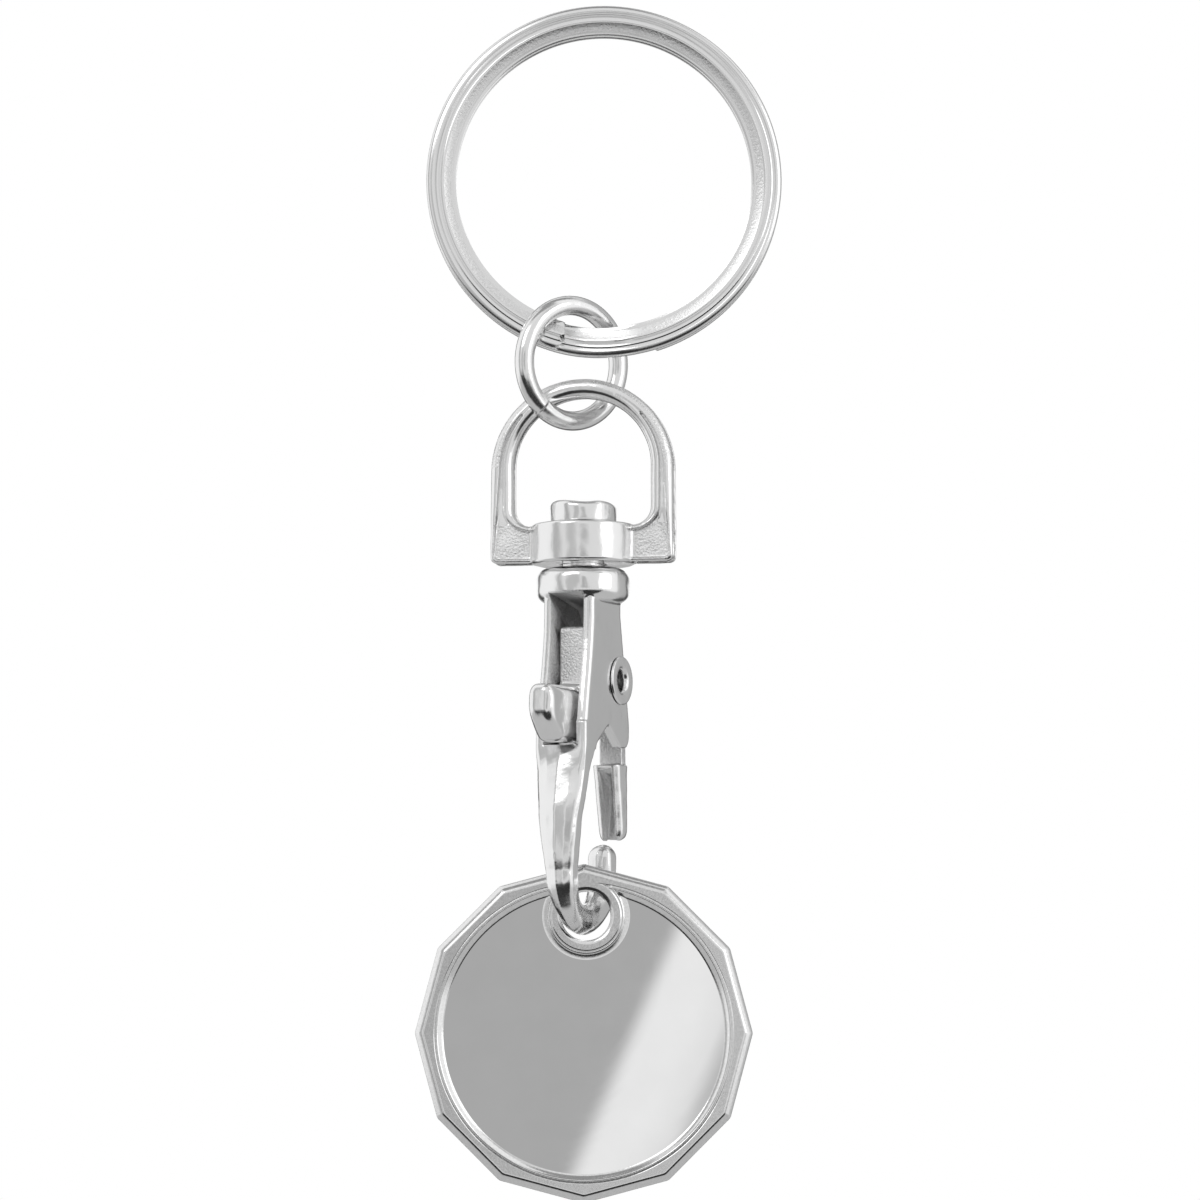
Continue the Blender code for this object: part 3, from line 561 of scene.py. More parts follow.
def metal(name, shade, rough, grain_rough, wave, grain, fine):
    """Plated metal: slow waves, fine speckle, coarse grain where the mesh is marked, and painted shade
    where it is marked for that.
    """
    material = bpy.data.materials.new(name)
    material.use_nodes = True
    nodes, links = material.node_tree.nodes, material.node_tree.links
    shader = nodes["Principled BSDF"]
    place = nodes.new("ShaderNodeTexCoord")

    def cloud(scale, detail):
        texture = nodes.new("ShaderNodeTexNoise")
        texture.inputs["Scale"].default_value = scale
        texture.inputs["Detail"].default_value = detail
        links.new(place.outputs["Object"], texture.inputs["Vector"])
        return texture.outputs["Fac"]

    def spread(value, low, high):
        ramp = nodes.new("ShaderNodeMapRange")
        ramp.inputs["From Min"].default_value = NOISE_LOW
        ramp.inputs["From Max"].default_value = NOISE_HIGH
        ramp.inputs["To Min"].default_value = low
        ramp.inputs["To Max"].default_value = high
        links.new(value, ramp.inputs["Value"])
        return ramp.outputs["Result"]

    def blend(share, first, second):
        mix = nodes.new("ShaderNodeMix")
        links.new(share, mix.inputs["Factor"])
        for socket, value in (("A", first), ("B", second)):
            if isinstance(value, float):
                mix.inputs[socket].default_value = value
            else:
                links.new(value, mix.inputs[socket])
        return mix.outputs["Result"]

    marked = nodes.new("ShaderNodeAttribute")
    marked.attribute_name = "grain"
    share = marked.outputs["Fac"]
    clouds = cloud(CLOUD_SCALE, 3.0)
    speckle = cloud(SPECKLE_SCALE, 4.0)
    roughness = blend(share, spread(clouds, *rough), spread(speckle, *grain_rough))
    links.new(roughness, shader.inputs["Roughness"])
    shine = nodes.new("ShaderNodeCombineColor")
    clean = spread(clouds, shade * CLOUD_DARKEST, shade)
    level = blend(share, clean, spread(speckle, shade * SPECKLE_DARKEST, shade))
    # Painted shade: faces marked for it are darkened towards a dim speckled grey
    painted_shade = nodes.new("ShaderNodeAttribute")
    painted_shade.attribute_name = "painted_shade"
    dark = spread(speckle, shade * PAINTED_SHADE_DARKEST, shade * PAINTED_SHADE_LIGHTEST)
    level = blend(painted_shade.outputs["Fac"], level, dark)
    shader.inputs["Metallic"].default_value = 1.0
    for socket in ("Red", "Green", "Blue"):
        links.new(level, shine.inputs[socket])
    links.new(shine.outputs["Color"], shader.inputs["Base Color"])
    waves = nodes.new("ShaderNodeBump")
    waves.inputs["Strength"].default_value = 1.0
    waves.inputs["Distance"].default_value = wave * MM
    links.new(cloud(WAVE_SCALE, 2.0), waves.inputs["Height"])
    grains = nodes.new("ShaderNodeBump")
    grains.inputs["Distance"].default_value = grain * MM
    links.new(blend(share, fine, 1.0), grains.inputs["Strength"])
    links.new(speckle, grains.inputs["Height"])
    links.new(waves.outputs["Normal"], grains.inputs["Normal"])
    links.new(grains.outputs["Normal"], shader.inputs["Normal"])
    return material


def make_split_ring(material):
    """Drawn flat wire wound twice, with worn lines along its faces and rough cut ends."""
    half = RING_TURN_T / 2
    face = [(RING_BAND / 2 - share * RING_BAND, height * half) for share, height in RING_FACE_SHARES]
    section = face + [(across, -out) for across, out in reversed(face)]
    rings = []
    for step in range(RING_STEPS + 1):
        sweep = RING_BACK_END_DEG - RING_FRONT_END_DEG
        degrees = RING_FRONT_END_DEG + sweep * step / RING_STEPS
        span = RING_STEP_END_DEG - RING_STEP_START_DEG
        y = RING_LAYER_Y * (2 * smooth_step((degrees - RING_STEP_START_DEG) / span) - 1)
        angle = math.radians(degrees)
        out = Vector((-math.sin(angle), 0, -math.cos(angle)))
        centre = Vector((0, y, RING_CENTRE_Z))
        along = Vector((math.cos(angle), 0, -math.sin(angle)))
        rough = RING_CUT_DEPTH * max(0, 1 - min(step, RING_STEPS - step) / RING_CUT_STEPS)
        ring = []
        for across, side in section:
            spot = Vector((across * RING_CUT_GRAIN[0], side * RING_CUT_GRAIN[1], step))
            ring.append(
                centre + out * (RING_R - RING_BAND / 2 + across) + Vector((0, side, 0))
                + along * rough * noise.noise(spot)
            )
        rings.append(ring)
    ring = make_object("split_ring_wire", loft(rings))

    def rule(co, normal):
        reach = (RING_R - math.hypot(co.x, co.z - RING_CENTRE_Z)) / RING_BAND
        return 1.0 if RING_ROUGH_FROM < reach < RING_ROUGH_TO else 0.0

    mark(ring, rule)
    dress(ring, Matrix.Identity(4), material, "split_ring", "split_ring", sharp_deg=25)


def make_jump_ring(material):
    low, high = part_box("jump_ring")
    gap = JUMP_BUTT_GAP / JUMP_R
    butt = math.radians(JUMP_BUTT_DEG)
    rings = []
    for step in range(JUMP_STEPS + 1):
        angle = butt + gap / 2 + (math.tau - gap) * step / JUMP_STEPS
        out = Vector((math.cos(angle), 0, math.sin(angle)))
        ring = []
        for side in range(JUMP_SIDES):
            turn = math.tau * side / JUMP_SIDES
            reach = JUMP_R + JUMP_WIRE_D / 2 * math.cos(turn)
            ring.append(out * reach + Vector((0, JUMP_WIRE_D / 2 * math.sin(turn), 0)))
        rings.append(ring)
    ring = make_object("jump_ring_wire", loft(rings))
    place = Matrix.Translation((low + high) / 2)
    place @= Matrix.Rotation(math.radians(JUMP_TILT_DEG), 4, 'X')
    place @= Matrix.Rotation(math.radians(JUMP_TURN_DEG), 4, 'Z')
    mark(ring, lambda co, normal: 0.0)
    dress(ring, place, material, "jump_ring", "jump_ring", sharp_deg=50)


def d_loop(half_width, arch_centre, bottom, corner_radius):
    """A D standing on its flat side: half circle above, straight legs, rounded feet."""
    arch = arc(0, arch_centre, half_width, 180, 0, ROUND_STEPS)
    feet = fillet([
        (half_width, arch_centre, 0),
        (half_width, bottom, corner_radius),
        (-half_width, bottom, corner_radius),
        (-half_width, arch_centre, 0),
    ])
    return arch + feet[1:-1]


def make_swivel_eye(material):
    """Rounded D with flat grainy ears and a bored boss, softened like a casting."""
    outer_centre = EYE_INNER_HALF_W + EYE_ARCH_H - EYE_HALF_W
    half = EYE_DEPTH / 2
    levels = []
    for step in range(CORNER_STEPS + 1):
        angle = math.pi / 2 * step / CORNER_STEPS
        levels.append((EYE_EDGE_R * (1 - math.sin(angle)), half - EYE_EDGE_R * (1 - math.cos(angle))))

    def outer(inset):
        return d_loop(EYE_HALF_W - inset, outer_centre, EYE_BOTTOM + inset, EYE_FOOT_R)

    def inner(inset):
        return d_loop(EYE_INNER_HALF_W + inset, 0, WINDOW_BOTTOM - inset, EYE_WINDOW_R + inset)

    def rounded_row(loop_at, inset, y):
        points = []
        for (flush_x, flush_z), (x, z) in zip(loop_at(0), loop_at(inset)):
            grown = smooth_step((flush_z - WINDOW_BOTTOM + EYE_ROUNDING_DROP) / EYE_ROUNDING_FADE)
            share = EYE_FOOT_ROUNDING + (1 - EYE_FOOT_ROUNDING) * grown
            points.append((lerp(flush_x, x, share), lerp(half, y, share), lerp(flush_z, z, share)))
        return points

    rows = [rounded_row(outer, inset, y) for inset, y in levels]
    rows += [rounded_row(inner, inset, y) for inset, y in reversed(levels)]
    front = [[(x, -y, z) for x, y, z in row] for row in reversed(rows)]
    eye_ring = loft(rows + front, closed=True)
    rise = EYE_BOSS_RISE
    boss = turned([(radius, z) for radius, z in fillet([
        (0, EYE_BOTTOM - rise, 0),
        (EYE_BOSS_D / 2, EYE_BOTTOM - rise, EYE_BOSS_EDGE_R),
        (EYE_BOSS_D / 2, WINDOW_BOTTOM + rise, EYE_BOSS_EDGE_R),
        (0, WINDOW_BOTTOM + rise, 0),
    ])])
    eye = make_object("eye_casting", eye_ring, boss)
    remesh(eye)
    cut(eye, cylinder(STEM_D / 2 + STEM_CLEARANCE, EYE_BOTTOM - OVERRUN, WINDOW_BOTTOM + OVERRUN, 'Z'))
    soften(eye, EYE_SOFTENING)
    settle(eye)

    def uneven(co):
        foot = smooth_step((WINDOW_BOTTOM + EYE_BATTER_RISE - co.z) / EYE_BATTER_FADE)
        return foot * (1 - EYE_BATTER_ABOVE) + EYE_BATTER_ABOVE

    def rule(co, normal):
        beside_boss = abs(co.x) > EYE_BOSS_D / 2 + MARGIN
        ear_zone = co.z < WINDOW_BOTTOM + MARGIN and abs(normal.y) > FLAT_NORMAL and beside_boss
        rim_zone = co.z > 0 and co.xz.length > EYE_INNER_HALF_W + EYE_ARCH_H * EYE_RIM_FROM
        return 1.0 if ear_zone else EYE_RIM_GRAIN if rim_zone else 0.0

    batter(eye, EYE_BATTER, EYE_BATTER_SIZE, uneven)
    mark(eye, rule)
    dress(eye, joint_place("eye_swing"), material, "swivel_eye", "swivel_eye")


def stem_solid():
    """Collar, stem and peened head, turned; the head is hammered a little out of true."""
    head_low = NECK_GAP + EYE_BASE_H + 2 * EYE_BOSS_RISE + HEAD_PLAY
    head_high = head_low + HEAD_H
    profile = fillet([
        (0, BODY_TOP, 0),
        (COLLAR_D / 2, BODY_TOP, COLLAR_R),
        (COLLAR_D / 2, 0, COLLAR_R),
        (STEM_D / 2, 0, 0),
        (STEM_D / 2, head_low, 0),
        (HEAD_D / 2, head_low, HEAD_FOOT_EDGE_R),
        (HEAD_D / 2, head_high, HEAD_EDGE_R),
        (HEAD_D / 4, head_high + HEAD_CROWN, 0),
        (0, head_high + HEAD_CROWN, 0),
    ])
    bm = turned(profile)
    for vertex in bm.verts:
        if vertex.co.z > (head_low + head_high) / 2:
            across, depth = vertex.co.x * HEAD_LUMP_SCALE, vertex.co.y * HEAD_LUMP_SCALE
            lump = noise.noise(Vector((across + HEAD_LUMP_PLACE[0], depth, HEAD_LUMP_PLACE[1])))
            vertex.co.z += HEAD_LUMP_H * lump * smooth_step((vertex.co.z - head_low) / HEAD_H)
    return bm


def rounded_ring(low_x, high_x, half_y, low_radius, high_radius, z):
    """Level ring of a bar whose edges have one radius at low X and another at high X."""
    return [(x, y, z) for x, y in fillet([
        (low_x, -half_y, low_radius), (high_x, -half_y, high_radius),
        (high_x, half_y, high_radius), (low_x, half_y, low_radius),
    ])]


def cheek_block():
    """Both cheeks as one block: level rings from the collar down to the foot."""
    shoulder = BODY_TOP - LUG_R
    lug_top = SLOT_FLOOR + LUG_RISE + 2 * LUG_R
    lean_rate = (LUG_REACH - BODY_FRONT) / (shoulder - lug_top)
    rings = []
    foot = SLOT_FLOOR - CHEEK_FOOT_DROP
    for step in range(CHEEK_STEPS + 1):
        z = SLOT_TOP + (foot - SLOT_TOP) * step / CHEEK_STEPS
        share = smooth_step((shoulder - z) / (shoulder - foot))
        back = BODY_BACK + SPINE_LEAN * share
        front = min(BODY_FRONT + lean_rate * max(shoulder - z, 0), LUG_REACH)
        rings.append(rounded_ring(-back, front, BODY_T / 2, BODY_EDGE_R, BODY_EDGE_R, z))
    return loft(rings)


def under_outline():
    """What is cut away below the cheeks in side view, leaving the lug and its notch."""
    lug_bottom = SLOT_FLOOR + LUG_RISE
    bottom = SLOT_FLOOR - CHEEK_FOOT_DROP - OVERRUN
    notch_x = (SHANK_INNER + LUG_REACH - 2 * LUG_R) / 2
    far = LUG_REACH + OVERRUN
    return fillet([
        (SHANK_INNER, bottom, 0),
        (SHANK_INNER, lug_bottom, LUG_R / 2),
        (notch_x, lug_bottom + NOTCH_H, LUG_R / 2),
        (LUG_REACH - 2 * LUG_R, lug_bottom, LUG_R * 0.6),
        (LUG_REACH - LUG_R * 0.75, lug_bottom, LUG_R * 0.9),
        (LUG_REACH + LUG_BULGE, lug_bottom + LUG_R * 1.5, LUG_R),
        (far, lug_bottom + LUG_R * 4, 0),
        (far, bottom, 0),
    ])


# Half a section of the hook: share of the depth outwards and of the width, square and ridged
SQUARE_SHARES = [
    (1, 0), (1, 0.5), (0.97, 0.88), (0.8, 1), (0, 1), (-0.8, 1), (-0.97, 0.88), (-1, 0.5), (-1, 0),
]
RIDGE_SHARES = [
    (1.08, 0), (0.9, 0.5), (0.68, 0.85), (0.4, 1), (0, 1), (-0.4, 1), (-0.68, 0.85), (-0.9, 0.5),
    (-1.05, 0),
]


def section(ridge, depth, width):
    """Ring of (outwards, across) points between a square section, at ridge 0, and a ridged one."""
    half = []
    for square, ridged in zip(SQUARE_SHARES, RIDGE_SHARES):
        out, across = (lerp(first, second, ridge) for first, second in zip(square, ridged))
        half.append((out * depth, across * width))
    return half + [(out, -across) for out, across in reversed(half[1:-1])]


def hook_solid():
    """Spine foot, swelling shank, bend and tip: one bar with a parting ridge."""
    half_t, half_w, half_tip = BODY_T / 2, HOOK_W / 2, TIP_D / 2
    top_x = (SHANK_INNER - SPINE_BACK) / 2
    drop = SLOT_FLOOR - BEND_Z
    stations = []
    for step in range(SHANK_STEPS + 1):
        share = -SHANK_LAP / drop + (1 + SHANK_LAP / drop) * step / SHANK_STEPS
        ease = smooth_step(share)
        bulge = SHANK_BULGE * math.sin(math.pi * max(share, 0))
        x = top_x + (SHANK_X - top_x) * ease - bulge
        taper = SHANK_TAPER * max(share, 0) ** SHANK_TAPER_POWER
        width = half_w + (half_t - half_w) * (1 - taper)
        depth = SHANK_DEPTH + (HOOK_DEPTH - SHANK_DEPTH) * ease
        ridge = smooth_step(share * SHANK_RIDGE_GROWTH)
        stations.append((x, SLOT_FLOOR - drop * share, 0, width, depth / 2, ridge))
    entry_width = stations[-1][3] - half_w
    for step in range(1, BEND_STEPS + 1):
        share = step / BEND_STEPS
        angle = math.pi * (1 + share)
        x = HOOK_BEND_R * math.cos(angle) - HOOK_SIDE
        z = BEND_Z + HOOK_BEND_R * math.sin(angle)
        exit_share = smooth_step(2 * share - 1)
        width = half_w + entry_width * (1 - smooth_step(3 * share)) + (half_tip - half_w) * exit_share
        depth = HOOK_DEPTH / 2 + (half_tip - HOOK_DEPTH / 2) * exit_share
        stations.append((x, z, math.pi * share, width, depth, 1.0))
    for degrees in TIP_DEGREES:
        angle = math.radians(degrees)
        z = TIP_TOP - half_tip + half_tip * math.sin(angle)
        reach = half_tip * math.cos(angle)
        stations.append((TIP_X, z, math.pi, reach, reach, TIP_RIDGE))
    rings = []
    for x, z, bend, width, depth, ridge in stations:
        away = Vector((-math.cos(bend), 0, -math.sin(bend)))
        ring = []
        for out, across in section(ridge, depth, width):
            ring.append(Vector((x, across, z)) + away * out)
        rings.append(ring)
    return loft(rings)


def cavity_outline():
    """What is cut out between the cheeks, in side view."""
    far = BODY_BACK + LUG_REACH + OVERRUN
    wall_back = BODY_FRONT - FRONT_WALL_T
    wall_low = BODY_TOP - FRONT_WALL_H
    foot = SLOT_FLOOR - SHANK_DEPTH - OVERRUN
    return [
        (-far, SLOT_TOP), (wall_back, SLOT_TOP), (wall_back, wall_low), (far, wall_low),
        (far, foot), (SHANK_INNER, foot), (SHANK_INNER, SLOT_FLOOR), (-far, SLOT_FLOOR),
    ]


def make_hook_body(material):
    reach = BODY_T / 2 + OVERRUN
    block = make_object("clasp_block", cheek_block())
    cut(block, slab(under_outline(), -reach, reach))
    settle(block)
    block_bm = bmesh.new()
    block_bm.from_mesh(block.data)
    bpy.data.objects.remove(block)
    body = make_object("clasp_casting", block_bm, stem_solid(), hook_solid())
    remesh(body)
    half_slot = SLOT_W / 2
    bore = shift(cylinder(RIVET_D / 2 + RIVET_CLEARANCE, -reach, reach), x=PIVOT_REACH, z=PIVOT_Z)
    cut(body, slab(cavity_outline(), -half_slot, half_slot), bore)
    soften(body, BODY_SOFTENING)
    settle(body)

    def collar(co):
        return smooth_step((co.z - BODY_TOP + COLLAR_BATTER_FADE / 2) / COLLAR_BATTER_FADE)

    def hook(co):
        return smooth_step((SLOT_FLOOR - co.z) / HOOK_BATTER_FADE)

    def rule(co, normal):
        slot_zone = abs(co.y) < half_slot + SLOT_EDGE_ZONE and SLOT_FLOOR < co.z < SLOT_TOP + MARGIN
        return SLOT_GRAIN if slot_zone else 0.0

    # Painted shade darkening the slot's walls, and a little its floor, where the cheeks shade them
    def painted_shade_rule(co, normal):
        if not rule(co, normal) or co.x > BODY_FRONT:
            return 0.0
        return SLOT_WALL_PAINTED_SHADE if abs(normal.y) > 0.5 else SLOT_FLOOR_PAINTED_SHADE

    batter(body, COLLAR_BATTER, COLLAR_BATTER_SIZE, collar)
    batter(body, HOOK_BATTER, HOOK_BATTER_SIZE, hook)
    mark(body, rule)
    mark(body, painted_shade_rule, "painted_shade")
    dress(body, clasp_place(), material, "clasp", "hook_body")


def make_pivot_rivet(material):
    """Tubular rivet whose flanges are rolled over each cheek."""
    under = BODY_T / 2 + RIVET_CLEARANCE
    out = under + RIVET_FLANGE_T
    half = [
        (RIVET_D / 2, under, 0),
        (RIVET_FLANGE_D / 2, under, RIVET_UNDER_R),
        (RIVET_FLANGE_D / 2, out, RIVET_FLANGE_T * 0.7),
        (RIVET_BORE_D / 2, out, RIVET_FLANGE_T * 2),
    ]
    mirrored = [(radius, -height, rounding) for radius, height, rounding in reversed(half)]
    bm = shift(turned(fillet(half + mirrored), axis='Y'), x=PIVOT_REACH, z=PIVOT_Z)
    rivet = make_object("rivet_tube", bm)
    mark(rivet, lambda co, normal: 0.0)
    dress(rivet, clasp_place(), material, "clasp", "pivot_rivet", sharp_deg=50)


def lever_side():
    """Side view of plate and boss about the pivot."""
    boss_r = LEVER_BOSS_D / 2
    front = PLATE_SINK - BODY_BACK - PIVOT_REACH
    back = front + PLATE_T
    stop = SLOT_FLOOR + STOP_GAP - PIVOT_Z
    elbow = -math.sqrt(boss_r ** 2 - ARM_DROP ** 2)
    start = math.degrees(math.atan2(ARM_DROP, elbow))
    boss = [(x, z, 0) for x, z in arc(0, 0, boss_r, start, -100, 60)]
    return fillet([
        (front, stop, LEVER_STOP_R),
        (front, PLATE_RISE, PLATE_CORNER_R),
        (back, PLATE_RISE, PLATE_CORNER_R),
        (back, ARM_DROP, PLATE_CORNER_R),
    ] + boss + [
        (-boss_r, -boss_r, NECK_T),
        (front + PLATE_T / 2, stop, LEVER_STOP_R),
    ])


def neck_side():
    """Side view of the arm from the boss down into the gate."""
    boss_r = LEVER_BOSS_D / 2
    neck = NECK_REACH - PIVOT_REACH
    low = -GATE_DROP - 2 * NECK_T
    return fillet([
        (boss_r * 0.2, boss_r * 0.4, 0),
        (boss_r * 0.95, boss_r * 0.2, 0.3),
        (neck, NECK_T * 2 - GATE_DROP, NECK_T * 2),
        (neck, low, 0),
        (neck - NECK_T, low, 0),
        (neck - NECK_T, -boss_r - NECK_T, NECK_T * 2),
        (boss_r * 0.4, -boss_r * 0.7, 0.4),
        (-boss_r * 0.2, -boss_r * 0.6, 0),
    ])


def pillow(outline_at, half_width, radius, steps=8):
    """Loft an outline across Y with rounded long edges; outline_at(inset) gives its points."""
    rows = []
    for side in (-1, 1):
        for step in range(steps + 1):
            angle = math.pi / 2 * (step if side < 0 else steps - step) / steps
            inset = radius * (1 - math.sin(angle))
            y = side * (half_width - radius * (1 - math.cos(angle)))
            rows.append([(x, y, z) for x, z in outline_at(inset)])
    return loft(rows)


def tab_solid():
    """Thumb tab: nose rounded on every edge and cut back underneath."""
    spine = PLATE_SINK - BODY_BACK - PIVOT_REACH + PLATE_T / 2
    nose = -SPINE_BACK - PIVOT_REACH - TAB_REACH + SPINE_LEAN
    stop = SLOT_FLOOR + STOP_GAP - PIVOT_Z
    top = stop + TAB_H

    def outline(inset):
        return fillet([
            (spine, stop + inset, 0),
            (spine, top - inset, 0),
            (nose + inset, top - inset, TAB_NOSE_R * 0.7),
            (nose + inset, stop + TAB_CHAMFER + inset / 2, TAB_NOSE_R * 1.8),
            (nose + TAB_CHAMFER + inset / 2, stop + inset, TAB_NOSE_R * 0.7),
        ], 12)

    return pillow(outline, LEVER_T / 2, TAB_EDGE_R)


def gate_solid():
    """Gate sleeve: narrows towards its rounded tip, and its open face leans back."""
    back = GATE_REACH - PIVOT_REACH
    top = -GATE_DROP - NECK_T / 2
    low = -math.sqrt(GATE_LENGTH ** 2 - (back - GATE_TIP_DEPTH) ** 2)
    rings = []
    for step in range(SLEEVE_STEPS + 1):
        share = step / SLEEVE_STEPS
        z = top + (low - top) * share
        half = (LEVER_T + SLEEVE_ROOM + (GATE_TIP_W - LEVER_T) * share) / 2
        face = back - GATE_DEPTH + (GATE_DEPTH - GATE_TIP_DEPTH) * share
        rounding = max(0, 1 - (z - low) / GATE_CORNER_R)
        fall = GATE_CORNER_R * (1 - math.sqrt(max(0, 1 - rounding ** 2)))
        reach = back - fall * SLEEVE_BACK_SHARE
        half -= fall * SLEEVE_SIDE_SHARE
        side = min(half, (reach - face) / 2) * SLEEVE_ROUNDNESS
        rings.append(rounded_ring(face, reach, half, SLEEVE_FACE_R, side, z))
    return loft(rings)


def make_gate_lever(material):
    half_t = LEVER_T / 2
    arm = slab(neck_side(), -NECK_W / 2, NECK_W / 2)
    body = slab(lever_side(), -half_t, half_t)
    lever = make_object("lever_casting", body, arm, tab_solid(), gate_solid())
    remesh(lever, LEVER_VOXEL)
    floor = GATE_REACH - PIVOT_REACH - CHANNEL_FLOOR_T
    far = floor - GATE_DEPTH - OVERRUN
    top = -GATE_DROP - NECK_T
    bottom = -GATE_LENGTH - OVERRUN
    side = [(far, top), (floor, top), (floor, bottom), (far, bottom)]
    channel = slab(side, -CHANNEL_W / 2, CHANNEL_W / 2)
    cut(lever, channel, cylinder(RIVET_D / 2 + RIVET_CLEARANCE, -half_t - OVERRUN, half_t + OVERRUN))
    soften(lever, LEVER_SOFTENING)
    settle(lever)
    batter(lever, LEVER_BATTER, LEVER_BATTER_SIZE, lambda co: 1.0)
    corner_r = PLATE_CORNER_R * PLATE_CORNER_GROWTH
    for vertex in lever.data.vertices:
        lift = smooth_step((vertex.co.z - SLOT_FLOOR - STOP_GAP + PIVOT_Z - TAB_H) / PLATE_FADE)
        if vertex.co.x < -BODY_BACK - PIVOT_REACH + PLATE_SINK + PLATE_T / 2:
            vertex.co.y *= 1 - PLATE_NARROWING * lift
            vertex.co.x += PLATE_EXTRA_SINK * lift
        across, rise = abs(vertex.co.y) - half_t + corner_r, vertex.co.z - PLATE_RISE + corner_r
        reach = math.hypot(across, rise)
        if across > 0 and rise > 0 and reach > corner_r:
            vertex.co.y = math.copysign(half_t - corner_r + across * corner_r / reach, vertex.co.y)
            vertex.co.z = PLATE_RISE - corner_r + rise * corner_r / reach

    # Painted shade darkening the inside of the gate's channel
    def painted_shade_rule(co, normal):
        inside = abs(co.y) < (CHANNEL_W + MARGIN) / 2 and co.z < top + MARGIN
        return CHANNEL_PAINTED_SHADE if inside and co.x > CHANNEL_FROM_X else 0.0

    def rule(co, normal):
        plate_zone = co.x < PLATE_GRAIN_X and co.z > PLATE_GRAIN_Z and normal.x < -0.5
        beside_neck = -GATE_DROP - NECK_GRAIN_LAP < co.z < NECK_GRAIN_Z and co.x > 0
        neck_zone = beside_neck and normal.x < 0.3
        return 1.0 if painted_shade_rule(co, normal) or plate_zone or neck_zone else 0.0

    mark(lever, rule)
    mark(lever, painted_shade_rule, "painted_shade")
    dress(lever, joint_place("gate_open"), material, "gate", "gate_lever")


def make_gate_spring(material):
    """Coil of round wire from the plate to the front wall, drawn as a tube."""
    start = PLATE_SINK - BODY_BACK + PLATE_T + SPRING_SEAT_GAP
    end = BODY_FRONT - FRONT_WALL_T - SPRING_SEAT_GAP
    coil_r = (SPRING_D - SPRING_WIRE_D) / 2
    z = PIVOT_Z + SPRING_RISE
    count = SPRING_TURNS * SPRING_TURN_POINTS
    path = [Vector((start, 0, z + coil_r))]
    for step in range(count + 1):
        angle = math.tau * step / SPRING_TURN_POINTS
        x = start + SPRING_WIRE_D + (end - start - 2 * SPRING_WIRE_D) * step / count
        path.append(Vector((x, coil_r * math.sin(angle), z + coil_r * math.cos(angle))))
    path.append(Vector((end, 0, z + coil_r)))
    rings = []
    for index, point in enumerate(path):
        ahead = path[min(index + 1, len(path) - 1)] - path[max(index - 1, 0)]
        side = ahead.cross(Vector((1, 0, 0.01))).normalized()
        up = side.cross(ahead).normalized()
        ring = []
        for turn in range(SPRING_SIDES):
            angle = math.tau * turn / SPRING_SIDES
            ring.append(point + (side * math.cos(angle) + up * math.sin(angle)) * SPRING_WIRE_D / 2)
        rings.append(ring)
    spring = make_object("spring_coil", loft(rings))
    mark(spring, lambda co, normal: 0.0)
    place = clasp_place()
    dress(spring, place, material, "clasp", "gate_spring", sharp_deg=50)
    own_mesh(spring)


def token_floor_cutter(side):
    """What is cut from one face inside the lip: a flat field round a raised boss."""
    half = TOKEN_T / 2
    floor = half - TOKEN_RECESS_DEPTH
    recess_r, boss_r = TOKEN_RECESS_D / 2, TOKEN_BOSS_D / 2
    profile = [(0, floor)] + [(recess_r + out, floor + rise) for out, rise in TOKEN_LIP]
    profile += [(recess_r + TOKEN_LIP[-1][0], half + OVERRUN), (0, half + OVERRUN)]
    turned_lip = turned([(r, side * y) for r, y in profile], TOKEN_ROUND_STEPS, 'Y')
    recess = make_object(f"recess_{side}", turned_lip)
    recess.data.transform(Matrix.Translation((-TOKEN_HOLE_SIDE, 0, -TOKEN_HOLE_RISE)))
    profile = [(0, floor - OVERRUN), (boss_r + TOKEN_SHOULDER[0][0], floor - OVERRUN)]
    profile += [(boss_r + out, floor + rise) for out, rise in TOKEN_SHOULDER]
    profile += [(boss_r + TOKEN_SHOULDER[-1][0], half + 2 * OVERRUN), (0, half + 2 * OVERRUN)]
    cut(recess, turned([(r, side * y) for r, y in profile], BOSS_ROUND_STEPS, 'Y'))
    settle(recess)
    cutter = bmesh.new()
    cutter.from_mesh(recess.data)
    bpy.data.objects.remove(recess)
    return cutter


